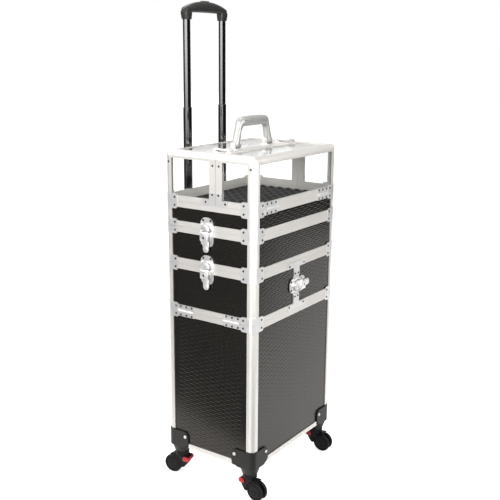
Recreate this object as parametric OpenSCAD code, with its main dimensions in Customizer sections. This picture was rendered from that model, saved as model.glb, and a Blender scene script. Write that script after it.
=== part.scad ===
// Rolling makeup train case: a deep bin on four twin-wheel casters, two
// butterfly wings with cantilever trays, a lift-off middle case, a lift-off
// top tray with a foam pad, a clear split lid and a telescopic trolley.
// Millimetres. Origin on the floor under the middle of the overall box,
// X along the long faces, -Y towards the front, trolley on +Y.

/* [Case] */
// Width of the case over the long faces
case_w = 350; // [320:1:380]
// Depth of the case over the narrow faces
case_d = 250; // [240:1:270]
// Height of the underside above the floor
base_z = 84; // [80:1:94]
// Height of the deep bin's own walls
bin_h = 349; // [320:1:380]
// Height of the butterfly wing section
wing_h = 114; // [110:1:124]
// Height of the middle case
middle_h = 87; // [80:1:100]
// Height of the top tray
tray_h = 58; // [54:1:70]
// Height of the clear lid
lid_h = 115; // [100:1:130]
// Where the lid is split, measured from the middle
lid_split = -20; // [-24:1:-16]

/* [Frame] */
// Height of one frame strip
strip_h = 13; // [12:0.5:14]
// Depth of the strips and posts
frame_t = 7; // [6.5:0.5:7]
// Leg of the corner posts
post_leg = 19; // [18:1:22]
// Outer radius of the corner posts
post_r = 12.8; // [10:0.2:13]
// Thickness of the side panels
panel_t = 4; // [3:0.5:4]
// Thickness of the lid's clear panels
clear_t = 3; // [2:0.5:3.5]
// Gap between stacked sections
seam = 0.4; // [0.3:0.1:0.8]

/* [Fittings] */
// Leg of the corner brackets
ear_leg = 36; // [30:1:40]
// Height of the corner brackets
ear_h = 17.3; // [15:0.1:18]
// Thickness of the plate fittings
plate_t = 1.2; // [1:0.1:1.5]
// Width of the narrow-face hinges
side_hinge_w = 45; // [40:1:50]
// Width of the long-face hinges
long_hinge_w = 48; // [40:1:56]
// Width of the draw latches' base plate
latch_w = 36; // [34:1:42]
// Width of the draw latches' lock body
lever_w = 22; // [20:1:27]
// Height of the draw latches below their seam
latch_drop = 50; // [46:1:52]

/* [Carry handle] */
// Length of the handle over its legs
handle_l = 120; // [110:1:130]
// Height of the handle above the lid
handle_h = 73; // [65:1:80]
// Diameter of the grip
handle_d = 24; // [18:1:26]

/* [Trolley] */
// Distance of each pole from the middle
pole_x = 68.4; // [60:0.2:72]
// Width of the outermost pole tube
pole_w = 31; // [31:0.5:32]
// Depth of the outermost pole tube
pole_d = 20; // [20:0.5:21]
// Height of the fixed tubes' tops
stage0_z = 440; // [432:1:452]
// Height of the lower stage's top when pulled out
stage1_z = 670; // [652:1:682]
// Height of the middle stage's top when pulled out
stage2_z = 895; // [872:1:907]
// Height of the upper stage's top when pulled out
stage3_z = 1095; // [1072:1:1102]
// Height of the grip's crown
grip_top = 1137; // [1127:1:1142]

/* [Casters] */
// Diameter of the wheels
wheel_d = 46; // [44:1:48]
// Overall width of the wheel pair
wheel_w = 24; // [24:1:28]
// Distance of the swivel axis from the case's corner faces, along X
stem_in_x = 22; // [22:1:30]
// Distance of the swivel axis from the case's corner faces, along Y
stem_in_y = 23; // [23:1:30]
// Trail of the wheels behind the swivel axis
trail = 22; // [20:1:24]

/* [Hidden] */
$fn = 48;

// Heights of the seams between the sections
bin_top = base_z + bin_h;
wing_top = bin_top + wing_h;
middle_top = wing_top + middle_h;
tray_top = middle_top + tray_h;
lid_top = tray_top + lid_h;

// Each caster: the corner's signs and the direction in which it trails
FL = [-1, -1, -95];
FR = [1, -1, -88];
BL = [-1, 1, 100];
BR = [1, 1, 140];

// The overall box runs from the front left wheel to the back of the trolley,
// and the case is moved so that the origin is under its middle.
pole_gap = 8;
pole_r = 6;
pole_wall = 1.2;
stage_step = 3;
stage_lap = 30;
pole_y = case_d/2 + pole_gap + pole_d/2;
wheel_r = wheel_d/2;
wheel_reach = case_d/2 - stem_in_y + (trail + wheel_r)*abs(sin(FL[2])) + wheel_w/2*abs(cos(FL[2]));
case_y = (wheel_reach - pole_y - pole_d/2)/2;

// The four faces, as the turn that brings the back face round to them
FRONT = 180;
BACK = 0;
LEFT = 90;
RIGHT = -90;
FACES = [FRONT, BACK, LEFT, RIGHT];
SIDES = [-1, 1];

// Frame details
panel_inset = 2;
slot_h = 8;
post_slot = 10;
line_depth = 0.6;
line_w = 1.6;
line_at = 5.6;
play = 0.05;
butt = 0.2;
upright_w = 12;
half_gap = 0.3;
ear_round = 6;
panel_lap = strip_h - slot_h + 0.5;
post_lap = post_leg - post_slot + 0.5;
foot_rail_h = 11;
foot_rail_slot = 6.5;

// Corner guards
guard_leg = 60;
guard_t = 2;
guard_high = 29;
guard_round = 13;
guard_plate = 3;
guard_slant_w = 16;
guard_slant_h = 12;
guard_top = base_z + foot_rail_h + guard_high;
post_foot = guard_top + 1;
socket_z = 65;
socket_r = 19;
socket_flare = 5;
pin_r = 5.5;
stem_l = 15;
hub_r = 12;
floor_t = 6;

// Lid
rail_h = 17;
side_rail_w = 27;
long_rail_w = 15;
seam_rail_front = 17;
seam_rail_back = 34;
centre_post_w = 17;
rail_round = 12;
rail_slot = 5;

// Hinges
knuckle_r = 3;
hinge_pin_r = 1.2;
leaf_h = 14;
axis_out = 3.3;
side_hinge_y = 66;
long_hinge_x = 112;

// Locks
lock_x = 4;
lock_pivot_drop = 6.2;
lock_pivot_out = 8;
lock_knuckle_r = 5.5;
lock_block_h = 23;
lock_pin_r = 1.5;
keeper_h = 30;
cover_h = 16;
cover_t = 7;
tongue_w = 16;
catch_x = 128;
catch_pivot_y = lid_split + 32;
front_lock_z = base_z + 406;

// Trolley clamps and grip
clamp_h = 22;
grip_half = 81;
grip_rise = 10;
grip_d = 18;
sleeve_h = 17;
sleeve_socket = 8;
button_w = 26;
button_d = 10;

// Inner trays and their arms
arm_l = 80;
arm_angle = 135;
arm_dx = arm_l*cos(arm_angle);
arm_dz = arm_l*sin(arm_angle);
arm_w = 12;
arm_t = 2;
arm_y = 113.5;
stud_r = 2.5;
arm_x = 135;
link_x = 85;
arm_z = bin_top - 16.6;
tray_in = 6;
tray_out = 153;
tray_low = bin_top + 25;
tray_high = 50;
tray_y = 112;
tray_wall = 2;

// Foam pad
foam_top = tray_top - 3;

// Handle
handle_y = 4;
handle_foot = 66;
handle_pivot_z = lid_top + 11;
handle_leg_w = 10;
handle_foot_w = 18;
handle_leg_d = 18;
handle_r = 18;
handle_bore = 3;
lug_t = 3;
lug_r = 6;
knob_l = 4;
handle_foot_d = 26;

// Casters
crown_z = 50;
crown_r = 17;
hood_w = 22;
brake_x = -14;
brake_z = 44;
brake_w = 29;
brake_t = 3;
brake_pin_r = 1.2;
axle_r = 3;
web_t = 7.6;

function half_len(a) = a % 180 == 0 ? case_w/2 : case_d/2;
function half_out(a) = a % 180 == 0 ? case_d/2 : case_w/2;

// ---------------------------------------------------------------- helpers

// Everything is drawn about the case's own middle and moved by this.
module place() translate([0, case_y, 0]) children();

// Draws in a face's own frame: X along the face, Y outwards, Z up.
module on_face(a) rotate([0, 0, a]) translate([0, half_out(a), 0]) children();

// Draws in a corner's own frame: the corner is at the origin, and the case
// lies towards -X and -Y.
module at_corner(sx, sy)
    mirror([sx < 0 ? 1 : 0, 0, 0]) mirror([0, sy < 0 ? 1 : 0, 0])
        translate([case_w/2, case_d/2, 0]) children();

module at_corners() for (sx = SIDES, sy = SIDES) at_corner(sx, sy) children();

// Square whose corner at the origin is rounded
module rounded_corner(leg, r) {
    translate([-leg, -leg]) square([leg - r, leg]);
    translate([-leg, -leg]) square([leg, leg - r]);
    intersection() {
        translate([-r, -r]) circle(r);
        translate([-r - 0.5, -r - 0.5]) square(r + 0.5);
    }
}

// Rounded rectangle about the origin
module rounded_rect(w, d, r) {
    square([w - 2*r, d], center = true);
    square([w, d - 2*r], center = true);
    for (x = SIDES, y = SIDES) translate([x*(w/2 - r), y*(d/2 - r)]) circle(r);
}

// Cross-section of a frame strip: outwards is +X, away from the seam is +Y
module strip_profile(slot_t = panel_t) difference() {
    translate([-frame_t, 0]) square([frame_t, strip_h]);
    translate([-panel_inset - slot_t, strip_h - slot_h]) square([slot_t, slot_h + 1]);
    translate([-line_depth, line_at]) square([1, line_w]);
}

// Strip along a face from x0 to x1, with its seam edge at z
module strip(x0, x1, z, up, slot_t = panel_t) translate([x0, 0, z])
    rotate([90, 0, 90]) linear_extrude(x1 - x0)
        mirror([0, up > 0 ? 0 : 1]) strip_profile(slot_t);

// Upright on a face, its seam edge at x and its body towards the given side
module upright(x, side, z0, z1, slot_t = panel_t) translate([x, 0, z0])
    linear_extrude(z1 - z0) rotate(90) mirror([0, side > 0 ? 1 : 0])
        intersection() {
            strip_profile(slot_t);
            translate([-frame_t, 0]) square([frame_t, upright_w]);
        }

// Corner post with a slot for each panel
module post(z0, z1, slot_t = panel_t) translate([0, 0, z0]) linear_extrude(z1 - z0)
    difference() {
        rounded_corner(post_leg, post_r);
        translate([-post_leg - 1, -post_leg - 1])
            square(post_leg + 1 - frame_t);
        translate([-panel_inset - slot_t, -post_leg - 1])
            square([slot_t, post_slot + 1]);
        translate([-post_leg - 1, -panel_inset - slot_t])
            square([post_slot + 1, slot_t]);
    }

// Rounds the upper outer corner of both tabs of a bracket round a corner
module tab_rounding(leg, top, r) for (flip = [0, 1]) mirror([flip, -flip, 0])
    translate([-leg - 1, -3, top - r]) difference() {
        cube([r + 1, 6, r + 1]);
        translate([r + 1, -1, 0]) rotate([-90, 0, 0]) cylinder(r = r, h = 8);
    }

// Bracket wrapped round a corner, up or down from its seam edge at z
module ear(z, up) translate([0, 0, z]) mirror([0, 0, up > 0 ? 0 : 1]) difference() {
    linear_extrude(ear_h) difference() {
        translate([plate_t, plate_t]) rounded_corner(ear_leg + plate_t, post_r + plate_t);
        rounded_corner(ear_leg + 1, post_r);
    }
    tab_rounding(ear_leg, ear_h, ear_round);
}

module ears_above(z) at_corners() ear(z + seam/2, 1);
module ears_below(z) at_corners() ear(z - seam/2, -1);

// Panel along a face between x0 and x1, and z0 and z1 of its section
module panel(x0, x1, z0, z1, t = panel_t)
    translate([x0, -panel_inset - t, z0]) cube([x1 - x0, t, z1 - z0]);

module full_panels(z0, z1) for (a = FACES) on_face(a)
    panel(post_lap - half_len(a), half_len(a) - post_lap, z0 + panel_lap, z1 - panel_lap);

module full_frame(z0, z1) {
    at_corners() post(z0 + seam/2, z1 - seam/2);
    for (a = FACES) on_face(a) {
        l = half_len(a) - post_leg - butt;
        strip(-l, l, z0 + seam/2, 1);
        strip(-l, l, z1 - seam/2, -1);
    }
}

module section_floor(z0) translate([0, 0, z0 + seam/2 + floor_t/2])
    cube([case_w - 2*frame_t - 1, case_d - 2*frame_t - 1, floor_t], center = true);

// Corner filler plates keep the floor inside the posts' legs.
module notched_floor(z0, notch_x, notch_y) difference() {
    section_floor(z0);
    at_corners() translate([-notch_x, -notch_y, z0 - 1]) cube([notch_x + 1, notch_y + 1, floor_t + 2]);
}

// One leaf of a hinge in a face's frame. The axis runs along X at z, the
// leaf goes up or down from it, and odd or even knuckles belong to it.
module hinge_leaf(w, z, up, own) {
    step = w/5;
    for (i = [0:4]) if (i % 2 == own) translate([-w/2 + i*step + 0.15, 0, z]) difference() {
        union() {
            translate([0, axis_out, 0]) rotate([0, 90, 0]) cylinder(r = knuckle_r, h = step - 0.3);
            translate([0, 0, up > 0 ? 0.25 : -axis_out - 1.25]) cube([step - 0.3, plate_t, axis_out + 1]);
        }
        translate([-1, axis_out, 0]) rotate([0, 90, 0])
            cylinder(r = hinge_pin_r + play, h = step + 1);
    }
    translate([-w/2, 0, up > 0 ? z + axis_out + 0.5 : z - leaf_h])
        cube([w, plate_t, leaf_h - axis_out - 0.5]);
}

module hinge_pin(w, z) translate([-w/2, axis_out, z]) rotate([0, 90, 0])
    cylinder(r = hinge_pin_r, h = w);

// Plate outline with a square foot on the origin and round shoulders
module arched_plate(w, h, r) intersection() {
    translate([-w/2, 0]) square([w, h]);
    union() {
        translate([-w/2, -r]) square([w, h]);
        translate([r - w/2, -r]) square([w - 2*r, h + r]);
        for (s = SIDES) translate([s*(w/2 - r), h - r]) circle(r);
    }
}

// Draws an outline that stands on a seam at z as a plate on the face
module on_plate(z, t) translate([0, t, z]) rotate([90, 0, 0]) linear_extrude(t) children();

// Fixed plate of a draw latch, below its seam, with the lever's pin
module latch_base(z) {
    on_plate(z, plate_t) polygon([[-latch_w/2, -seam], [latch_w/2, -seam], [latch_w/2, -25],
        [latch_w/2 - 2, -31], [latch_w/2 - 6, -35], [latch_w/2 - 11, -37], [11 - latch_w/2, -37],
        [6 - latch_w/2, -35], [2 - latch_w/2, -31], [-latch_w/2, -25]]);
    for (s = SIDES) translate([s*(lever_w/2 + 1.5) - 1, 0, z - lock_pivot_drop - 5])
        cube([2, lock_pivot_out + 2, 9]);
    translate([-lever_w/2 - 2.5, lock_pivot_out, z - lock_pivot_drop]) rotate([0, 90, 0])
        cylinder(r = lock_pin_r, h = lever_w + 5);
}

// Keeper plate above the seam, with its raised cover
module latch_keeper(z) translate([0, 0, seam]) {
    on_plate(z, plate_t) arched_plate(latch_w, keeper_h - seam, 15);
    on_plate(z, cover_t) arched_plate(lever_w, cover_h, lever_w/2 - 1);
}

// Swinging lock of a draw latch: knuckle, lock body and tongue
module latch_lever(z) difference() {
    union() {
        translate([-lever_w/2, lock_pivot_out, z - lock_pivot_drop]) rotate([0, 90, 0])
            cylinder(r = lock_knuckle_r, h = lever_w);
        translate([0, 0, z - lock_block_h]) linear_extrude(lock_block_h - lock_pivot_drop)
            translate([0, lock_pivot_out]) rounded_rect(lever_w, 2*lock_knuckle_r, 3);
        translate([0, 0, z - latch_drop]) rotate([90, 0, 0]) translate([0, 0, -6]) linear_extrude(3.4) {
            translate([0, tongue_w/2]) circle(tongue_w/2);
            translate([-tongue_w/2, tongue_w/2]) square([tongue_w, 24]);
        }
    }
    translate([-lever_w, lock_pivot_out, z - lock_pivot_drop]) rotate([0, 90, 0])
        cylinder(r = lock_pin_r + play, h = 2*lever_w);
    translate([0, lock_pivot_out + lock_knuckle_r - 1.5, z - 15.5]) rotate([-90, 0, 0])
        cylinder(r = 3.2, h = 3);
}

// -------------------------------------------------------------------- bin

module bin_panels() color([0.04, 0.04, 0.045]) place() for (a = FACES) on_face(a)
    panel(post_lap - half_len(a), half_len(a) - post_lap,
        base_z + foot_rail_h - foot_rail_slot + 0.5, bin_top - panel_lap);

module bin_floor() color([0.10, 0.10, 0.10]) place() difference() {
    translate([0, 0, base_z + floor_t/2])
        cube([case_w - 2*frame_t - 1, case_d - 2*frame_t - 1, floor_t], center = true);
    at_corners() translate([-guard_leg, -guard_leg, base_z - 1])
        cube([guard_leg + 1, guard_leg + 1, floor_t + 2]);
}

module bin_posts() color([0.80, 0.81, 0.82]) place() at_corners()
    post(post_foot, bin_top - seam/2);

module bin_rails() color([0.80, 0.81, 0.82]) place() for (a = FACES) on_face(a) {
    l = half_len(a) - post_leg - butt;
    strip(-l, l, bin_top - seam/2, -1);
    m = half_len(a) - guard_leg - butt;
    translate([-m, 0, base_z]) rotate([90, 0, 90]) linear_extrude(2*m) difference() {
        translate([-frame_t, 0]) square([frame_t, foot_rail_h]);
        translate([-panel_inset - panel_t, foot_rail_h - foot_rail_slot]) square([panel_t, foot_rail_h]);
        translate([-line_depth, line_at]) square([1, line_w]);
    }
}

module bin_fittings() color([0.78, 0.79, 0.80]) place() {
    ears_below(bin_top);
    for (a = [LEFT, RIGHT], y = [-side_hinge_y, side_hinge_y]) on_face(a)
        translate([y, 0, 0]) {
            hinge_leaf(side_hinge_w, bin_top, -1, 0);
            hinge_pin(side_hinge_w, bin_top);
        }
    // Carriers of the tray arms, fixed inside the front and back top strips
    for (sx = SIDES, sy = SIDES) {
        translate([sx*(arm_x + link_x)/2, sy*(arm_y + arm_t + 1.25), arm_z + 1])
            cube([66, 1.5, 28], center = true);
        for (x = [link_x, arm_x]) translate([sx*x, sy*(arm_y + arm_t + 1), arm_z])
            rotate([sy*90, 0, 0]) cylinder(r = stud_r, h = arm_t + 2.2);
    }
}

// Black guards: two wings each, rounded above and slanting down to the foot
// plate, and below it the socket that takes the caster's stem
module corner_guards() color([0.06, 0.06, 0.065]) place() at_corners() {
    foot = base_z - guard_plate;
    difference() {
        translate([0, 0, foot]) linear_extrude(guard_top - foot) difference() {
            translate([guard_t, guard_t]) rounded_corner(guard_leg + guard_t, post_r + guard_t);
            translate([-panel_inset, -panel_inset])
                rounded_corner(guard_leg + 8, post_lap - panel_inset);
        }
        tab_rounding(guard_leg, guard_top, guard_round);
        for (flip = [0, 1]) mirror([flip, -flip, 0])
            translate([-guard_leg, 3, foot]) rotate([90, 0, 0]) linear_extrude(6)
                polygon([[-1, -1], [guard_slant_w, -1], [guard_slant_w, 0], [0, guard_slant_h],
                    [-1, guard_slant_h]]);
    }
    difference() {
        union() {
            translate([-panel_inset, -panel_inset, foot]) linear_extrude(guard_plate + 1.5)
                rounded_corner(guard_leg - panel_inset, post_r - panel_inset);
            translate([-stem_in_x, -stem_in_y, socket_z]) {
                cylinder(r1 = socket_r, r2 = socket_r + socket_flare, h = foot - socket_z);
                cylinder(r = hub_r, h = base_z + 3 - socket_z);
            }
        }
        translate([-stem_in_x, -stem_in_y, socket_z - 1]) cylinder(r = pin_r + play, h = stem_l + 3);
    }
}

// ---------------------------------------------------------------- trolley

// Section of the tubes of a stage, counted from the fixed outermost one
module stage_section(n, wall = 0)
    rounded_rect(pole_w - n*stage_step - 2*wall, pole_d - n*stage_step - 2*wall, pole_r - n/2 - wall);

// The pair of tubes of a stage
module stage_tubes(n, z0, z1) for (s = SIDES) translate([s*pole_x, pole_y, z0])
    linear_extrude(z1 - z0) difference() {
        stage_section(n);
        stage_section(n, pole_wall);
    }

module trolley_outer_tubes() color([0.05, 0.05, 0.055]) place()
    stage_tubes(0, base_z + foot_rail_h, stage0_z);

module trolley_lower_tubes() color([0.05, 0.05, 0.055]) place()
    stage_tubes(1, stage0_z - stage_lap, stage1_z);

module trolley_middle_tubes() color([0.05, 0.05, 0.055]) place()
    stage_tubes(2, stage1_z - stage_lap, stage2_z);

module trolley_upper_tubes() color([0.05, 0.05, 0.055]) place()
    stage_tubes(3, stage2_z - stage_lap, stage3_z + sleeve_socket);

// Cross-piece of a clamp, cut out round the tubes and between them
module clamp_bar(z) difference() {
    half = pole_x + pole_w/2 + 3;
    translate([-half, case_d/2 + 0.1, z]) cube([2*half, pole_gap + pole_d, clamp_h]);
    for (s = SIDES) translate([s*pole_x, pole_y, z - 1]) linear_extrude(clamp_h + 2)
        stage_section(0);
    translate([-pole_x + pole_w/2 + 8, case_d/2 + 6, z - 1])
        cube([2*pole_x - pole_w - 16, pole_gap + pole_d, clamp_h + 2]);
}

// Clamps that hold the fixed tubes to the back face, at top and bottom
module trolley_clamps() color([0.06, 0.06, 0.065]) place() {
    clamp_bar(bin_top - clamp_h - 4);
    clamp_bar(base_z + foot_rail_h + 5);
}

// Arched grip with a sleeve for each tube and a recess for its button
module trolley_grip() color([0.05, 0.05, 0.055]) place() {
    arch_r = (grip_half*grip_half + grip_rise*grip_rise)/(2*grip_rise);
    difference() {
        union() {
            translate([0, pole_y + grip_d/2, 0]) rotate([90, 0, 0]) linear_extrude(grip_d) intersection() {
                translate([0, grip_top - arch_r]) circle(arch_r, $fn = 360);
                translate([-grip_half, stage3_z + sleeve_h - 2]) square([2*grip_half, grip_top]);
                translate([0, grip_top - 25]) rounded_rect(2*grip_half, 50, 12);
            }
            for (s = SIDES) translate([s*pole_x, pole_y, stage3_z]) linear_extrude(sleeve_h)
                stage_section(1, 1);
        }
        for (s = SIDES) translate([s*pole_x, pole_y, stage3_z - 1]) linear_extrude(sleeve_socket + 1)
            stage_section(3);
        translate([0, pole_y, grip_top - 12]) linear_extrude(20)
            rounded_rect(button_w + 0.6, button_d + 0.6, 4.3);
    }
}

module trolley_button() color([0.20, 0.20, 0.21]) place()
    translate([0, pole_y, grip_top - 6.5]) linear_extrude(8) rounded_rect(button_w, button_d, 4);

// ---------------------------------------------------------------- casters

// Draws with the swivel axis at the origin and the wheels trailing on +X
module at_stem(sx, sy, turn) place()
    translate([sx*(case_w/2 - stem_in_x), sy*(case_d/2 - stem_in_y), 0])
        rotate([0, 0, turn]) children();

module caster_body(sx, sy, turn) color([0.06, 0.06, 0.065]) at_stem(sx, sy, turn) {
    difference() {
        union() {
            translate([0, 0, crown_z]) cylinder(r = pin_r, h = socket_z - crown_z + stem_l);
            translate([0, 0, crown_z]) cylinder(r = crown_r, h = socket_z - crown_z - 0.4);
            // Web between the two wheels
            translate([0, web_t/2, 0]) rotate([90, 0, 0]) linear_extrude(web_t) polygon([
                [4 - crown_r, crown_z + 2], [crown_r, crown_z + 2], [trail + 9, wheel_r + 14],
                [trail + 9, wheel_r - 4], [trail, wheel_r - 9], [trail - 7, wheel_r - 5]]);
            // Hood over the wheels and the arm behind them
            translate([0, hood_w/2, 0]) rotate([90, 0, 0]) linear_extrude(hood_w) difference() {
                union() {
                    polygon([[-13, crown_z + 2], [-20, 46], [-19.5, 37], [-14, 26], [-8, 18],
                        [trail - wheel_r, 18], [10, wheel_r], [crown_r - 4, crown_z + 2]]);
                    translate([trail, wheel_r]) intersection() {
                        circle(wheel_r + 3.6);
                        polygon([[0, 0], [-60, -6], [-60, 60], [10, 60]]);
                    }
                }
                translate([trail, wheel_r]) circle(wheel_r + 0.8);
            }
        }
        translate([trail, 0, wheel_r]) rotate([90, 0, 0])
            cylinder(r = axle_r + play, h = 60, center = true);
        translate([brake_x, 0, brake_z]) rotate([90, 0, 0])
            cylinder(r = brake_pin_r + play, h = 30, center = true);
    }
}

module caster_wheels(sx, sy, turn) color([0.05, 0.05, 0.05]) at_stem(sx, sy, turn)
    translate([trail, 0, wheel_r]) rotate([90, 0, 0]) {
        cylinder(r = axle_r, h = wheel_w - 2, center = true);
        for (s = SIDES) translate([0, 0, s*(wheel_w/4 + 2.1)]) {
            cylinder(r = wheel_r, h = wheel_w/2 - 6, center = true);
            cylinder(r = wheel_r - 1.4, h = wheel_w/2 - 4.2, center = true);
        }
    }

// Brake lever: a bow round the back of the arm with a pad on either side,
// and the pin through the arm on which it turns
module brake_lever(sx, sy, turn) color([0.72, 0.04, 0.05]) at_stem(sx, sy, turn)
    translate([brake_x, 0, brake_z]) rotate([90, 0, 0]) {
        difference() {
            linear_extrude(brake_w, center = true)
                polygon([[-10, -5], [-10, 1], [-7, 4], [4, 4], [7, 2], [7, -5], [4, -8], [-6, -8]]);
            translate([brake_t - 10.4, -10, brake_t - brake_w/2]) cube([40, 20, brake_w - 2*brake_t]);
        }
        cylinder(r = brake_pin_r, h = brake_w - 1, center = true);
    }

// ------------------------------------------------------------------ wings

// The right wing is drawn and the left one is its mirror image.
module wing_side(s) place() mirror([s < 0 ? 1 : 0, 0, 0]) children();

module wing_panels(s) color([0.04, 0.04, 0.045]) wing_side(s) {
    z0 = bin_top + panel_lap;
    z1 = wing_top - panel_lap;
    on_face(RIGHT) panel(post_lap - case_d/2, case_d/2 - post_lap, z0, z1);
    for (sy = [0, 1]) mirror([0, sy, 0]) on_face(BACK)
        panel(half_gap + panel_lap, case_w/2 - post_lap, z0, z1);
}

module wing_frame(s) color([0.80, 0.81, 0.82]) wing_side(s) {
    z0 = bin_top + seam/2;
    z1 = wing_top - seam/2;
    l = case_d/2 - post_leg - butt;
    on_face(RIGHT) { strip(-l, l, z0, 1); strip(-l, l, z1, -1); }
    for (sy = [0, 1]) mirror([0, sy, 0]) {
        at_corner(1, 1) post(z0, z1);
        on_face(BACK) {
            x0 = half_gap + upright_w + butt;
            x1 = case_w/2 - post_leg - butt;
            strip(x0, x1, z0, 1);
            strip(x0, x1, z1, -1);
            upright(half_gap, 1, z0, z1);
        }
    }
}

// Bracket across an upright and a strip: foot along the strip, leg on the upright
module tee_bracket(z, up) translate([half_gap, 0, z]) mirror([0, 0, up > 0 ? 0 : 1]) {
    cube([38, plate_t, strip_h]);
    cube([upright_w, plate_t, 34]);
}

module wing_fittings(s) color([0.78, 0.79, 0.80]) wing_side(s) {
    for (sy = SIDES) at_corner(1, sy) {
        ear(bin_top + seam/2, 1);
        ear(wing_top - seam/2, -1);
    }
    for (sy = [0, 1]) mirror([0, sy, 0]) on_face(BACK) {
        tee_bracket(bin_top + seam/2, 1);
        tee_bracket(wing_top - seam/2, -1);
    }
    on_face(RIGHT) {
        for (y = [-side_hinge_y, side_hinge_y]) translate([y, 0, 0])
            hinge_leaf(side_hinge_w, bin_top, 1, 1);
        translate([-lock_x, 0, 0]) latch_base(wing_top);
    }
}

// The front lock lies on its side across the wings' split: its keeper is on
// the left wing and its lever on the right one.
module on_front_lock() on_face(FRONT) translate([0, 0, front_lock_z]) rotate([0, 90, 0]) children();

module wing_fittings_left() {
    wing_fittings(-1);
    color([0.78, 0.79, 0.80]) place() on_front_lock() latch_keeper(0);
}

module wing_fittings_right() {
    wing_fittings(1);
    color([0.78, 0.79, 0.80]) place() on_front_lock() latch_base(0);
}

// ------------------------------------------------- inner trays of the wings

module inner_tray(s) color([0.12, 0.12, 0.12]) wing_side(s) {
    difference() {
        translate([tray_in, -tray_y, tray_low]) cube([tray_out - tray_in, 2*tray_y, tray_high]);
        translate([tray_in + tray_wall, -tray_y + tray_wall, tray_low + tray_wall])
            cube([tray_out - tray_in - 2*tray_wall, 2*(tray_y - tray_wall), tray_high]);
    }
    for (sy = [0, 1]) mirror([0, sy, 0]) for (x = [link_x, arm_x])
        translate([x + arm_dx, tray_y - 1, arm_z + arm_dz]) rotate([-90, 0, 0])
            cylinder(r = x == arm_x ? stud_r : stud_r - 0.4, h = arm_y + arm_t + 0.6 - tray_y + 1);
}

// A pair of flat bars, one at each end of the tray
module tray_bars(s, x) color([0.70, 0.71, 0.72]) wing_side(s)
    for (sy = [0, 1]) mirror([0, sy, 0])
        translate([x, arm_y, arm_z]) rotate([-90, 0, 0]) linear_extrude(arm_t) difference() {
            rotate(-arm_angle) union() {
                circle(arm_w/2);
                translate([0, -arm_w/2]) square([arm_l, arm_w]);
                translate([arm_l, 0]) circle(arm_w/2);
            }
            circle(stud_r + play);
            rotate(-arm_angle) translate([arm_l, 0]) circle(stud_r + play);
        }

// ------------------------------------------------------------ middle case

module middle_panels() color([0.04, 0.04, 0.045]) place() full_panels(wing_top, middle_top);

module middle_floor() color([0.10, 0.10, 0.10]) place()
    notched_floor(wing_top, post_leg, post_leg);

module middle_frame() color([0.80, 0.81, 0.82]) place() full_frame(wing_top, middle_top);

module middle_fittings() color([0.78, 0.79, 0.80]) place() {
    ears_above(wing_top);
    ears_below(middle_top);
    for (a = [LEFT, RIGHT]) on_face(a) translate([a == LEFT ? lock_x : -lock_x, 0, 0]) {
        latch_keeper(wing_top);
        latch_base(middle_top);
    }
}

// --------------------------------------------------------------- top tray

module top_tray_panels() color([0.04, 0.04, 0.045]) place() full_panels(middle_top, tray_top);

module top_tray_floor() color([0.10, 0.10, 0.10]) place()
    notched_floor(middle_top, post_leg, post_leg);

module top_tray_frame() color([0.80, 0.81, 0.82]) place() full_frame(middle_top, tray_top);

module top_tray_fittings() color([0.78, 0.79, 0.80]) place() {
    ears_above(middle_top);
    ears_below(tray_top);
    for (a = [LEFT, RIGHT]) on_face(a) translate([a == LEFT ? lock_x : -lock_x, 0, 0])
        latch_keeper(middle_top);
    for (a = [FRONT, BACK], x = [-long_hinge_x, long_hinge_x]) on_face(a)
        translate([x, 0, 0]) {
            hinge_leaf(long_hinge_w, tray_top, -1, 0);
            hinge_pin(long_hinge_w, tray_top);
        }
}

module foam_pad() color([0.03, 0.03, 0.03]) place() {
    z0 = middle_top + seam/2 + floor_t;
    x = case_w/2 - frame_t - 0.5;
    y = case_d/2 - frame_t - 0.5;
    difference() {
        translate([-x, -y, z0]) cube([2*x, 2*y, foam_top - z0]);
        at_corners() translate([-post_leg - 0.5, -post_leg - 0.5, z0 - 1])
            cube([post_leg + 1, post_leg + 1, foam_top - z0 + 2]);
    }
}

// -------------------------------------------------------------------- lid

// Cross-section of a top rail: outwards +X, up +Y, its corner at the origin
module rail_profile(w) difference() {
    union() {
        translate([-frame_t, -rail_h]) square([frame_t, rail_h - rail_round]);
        translate([-w, -frame_t]) square([w - rail_round, frame_t]);
        intersection() {
            translate([-rail_round, -rail_round]) circle(rail_round);
            square(2*rail_round, center = true);
        }
    }
    translate([-panel_inset - clear_t, -rail_h - 1]) square([clear_t, rail_slot + 1]);
    translate([-w - 1, -panel_inset - clear_t]) square([rail_slot + 1, clear_t]);
}

module rail(x0, x1, w) translate([x0, 0, lid_top]) rotate([90, 0, 90])
    linear_extrude(x1 - x0) rail_profile(w);

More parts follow.
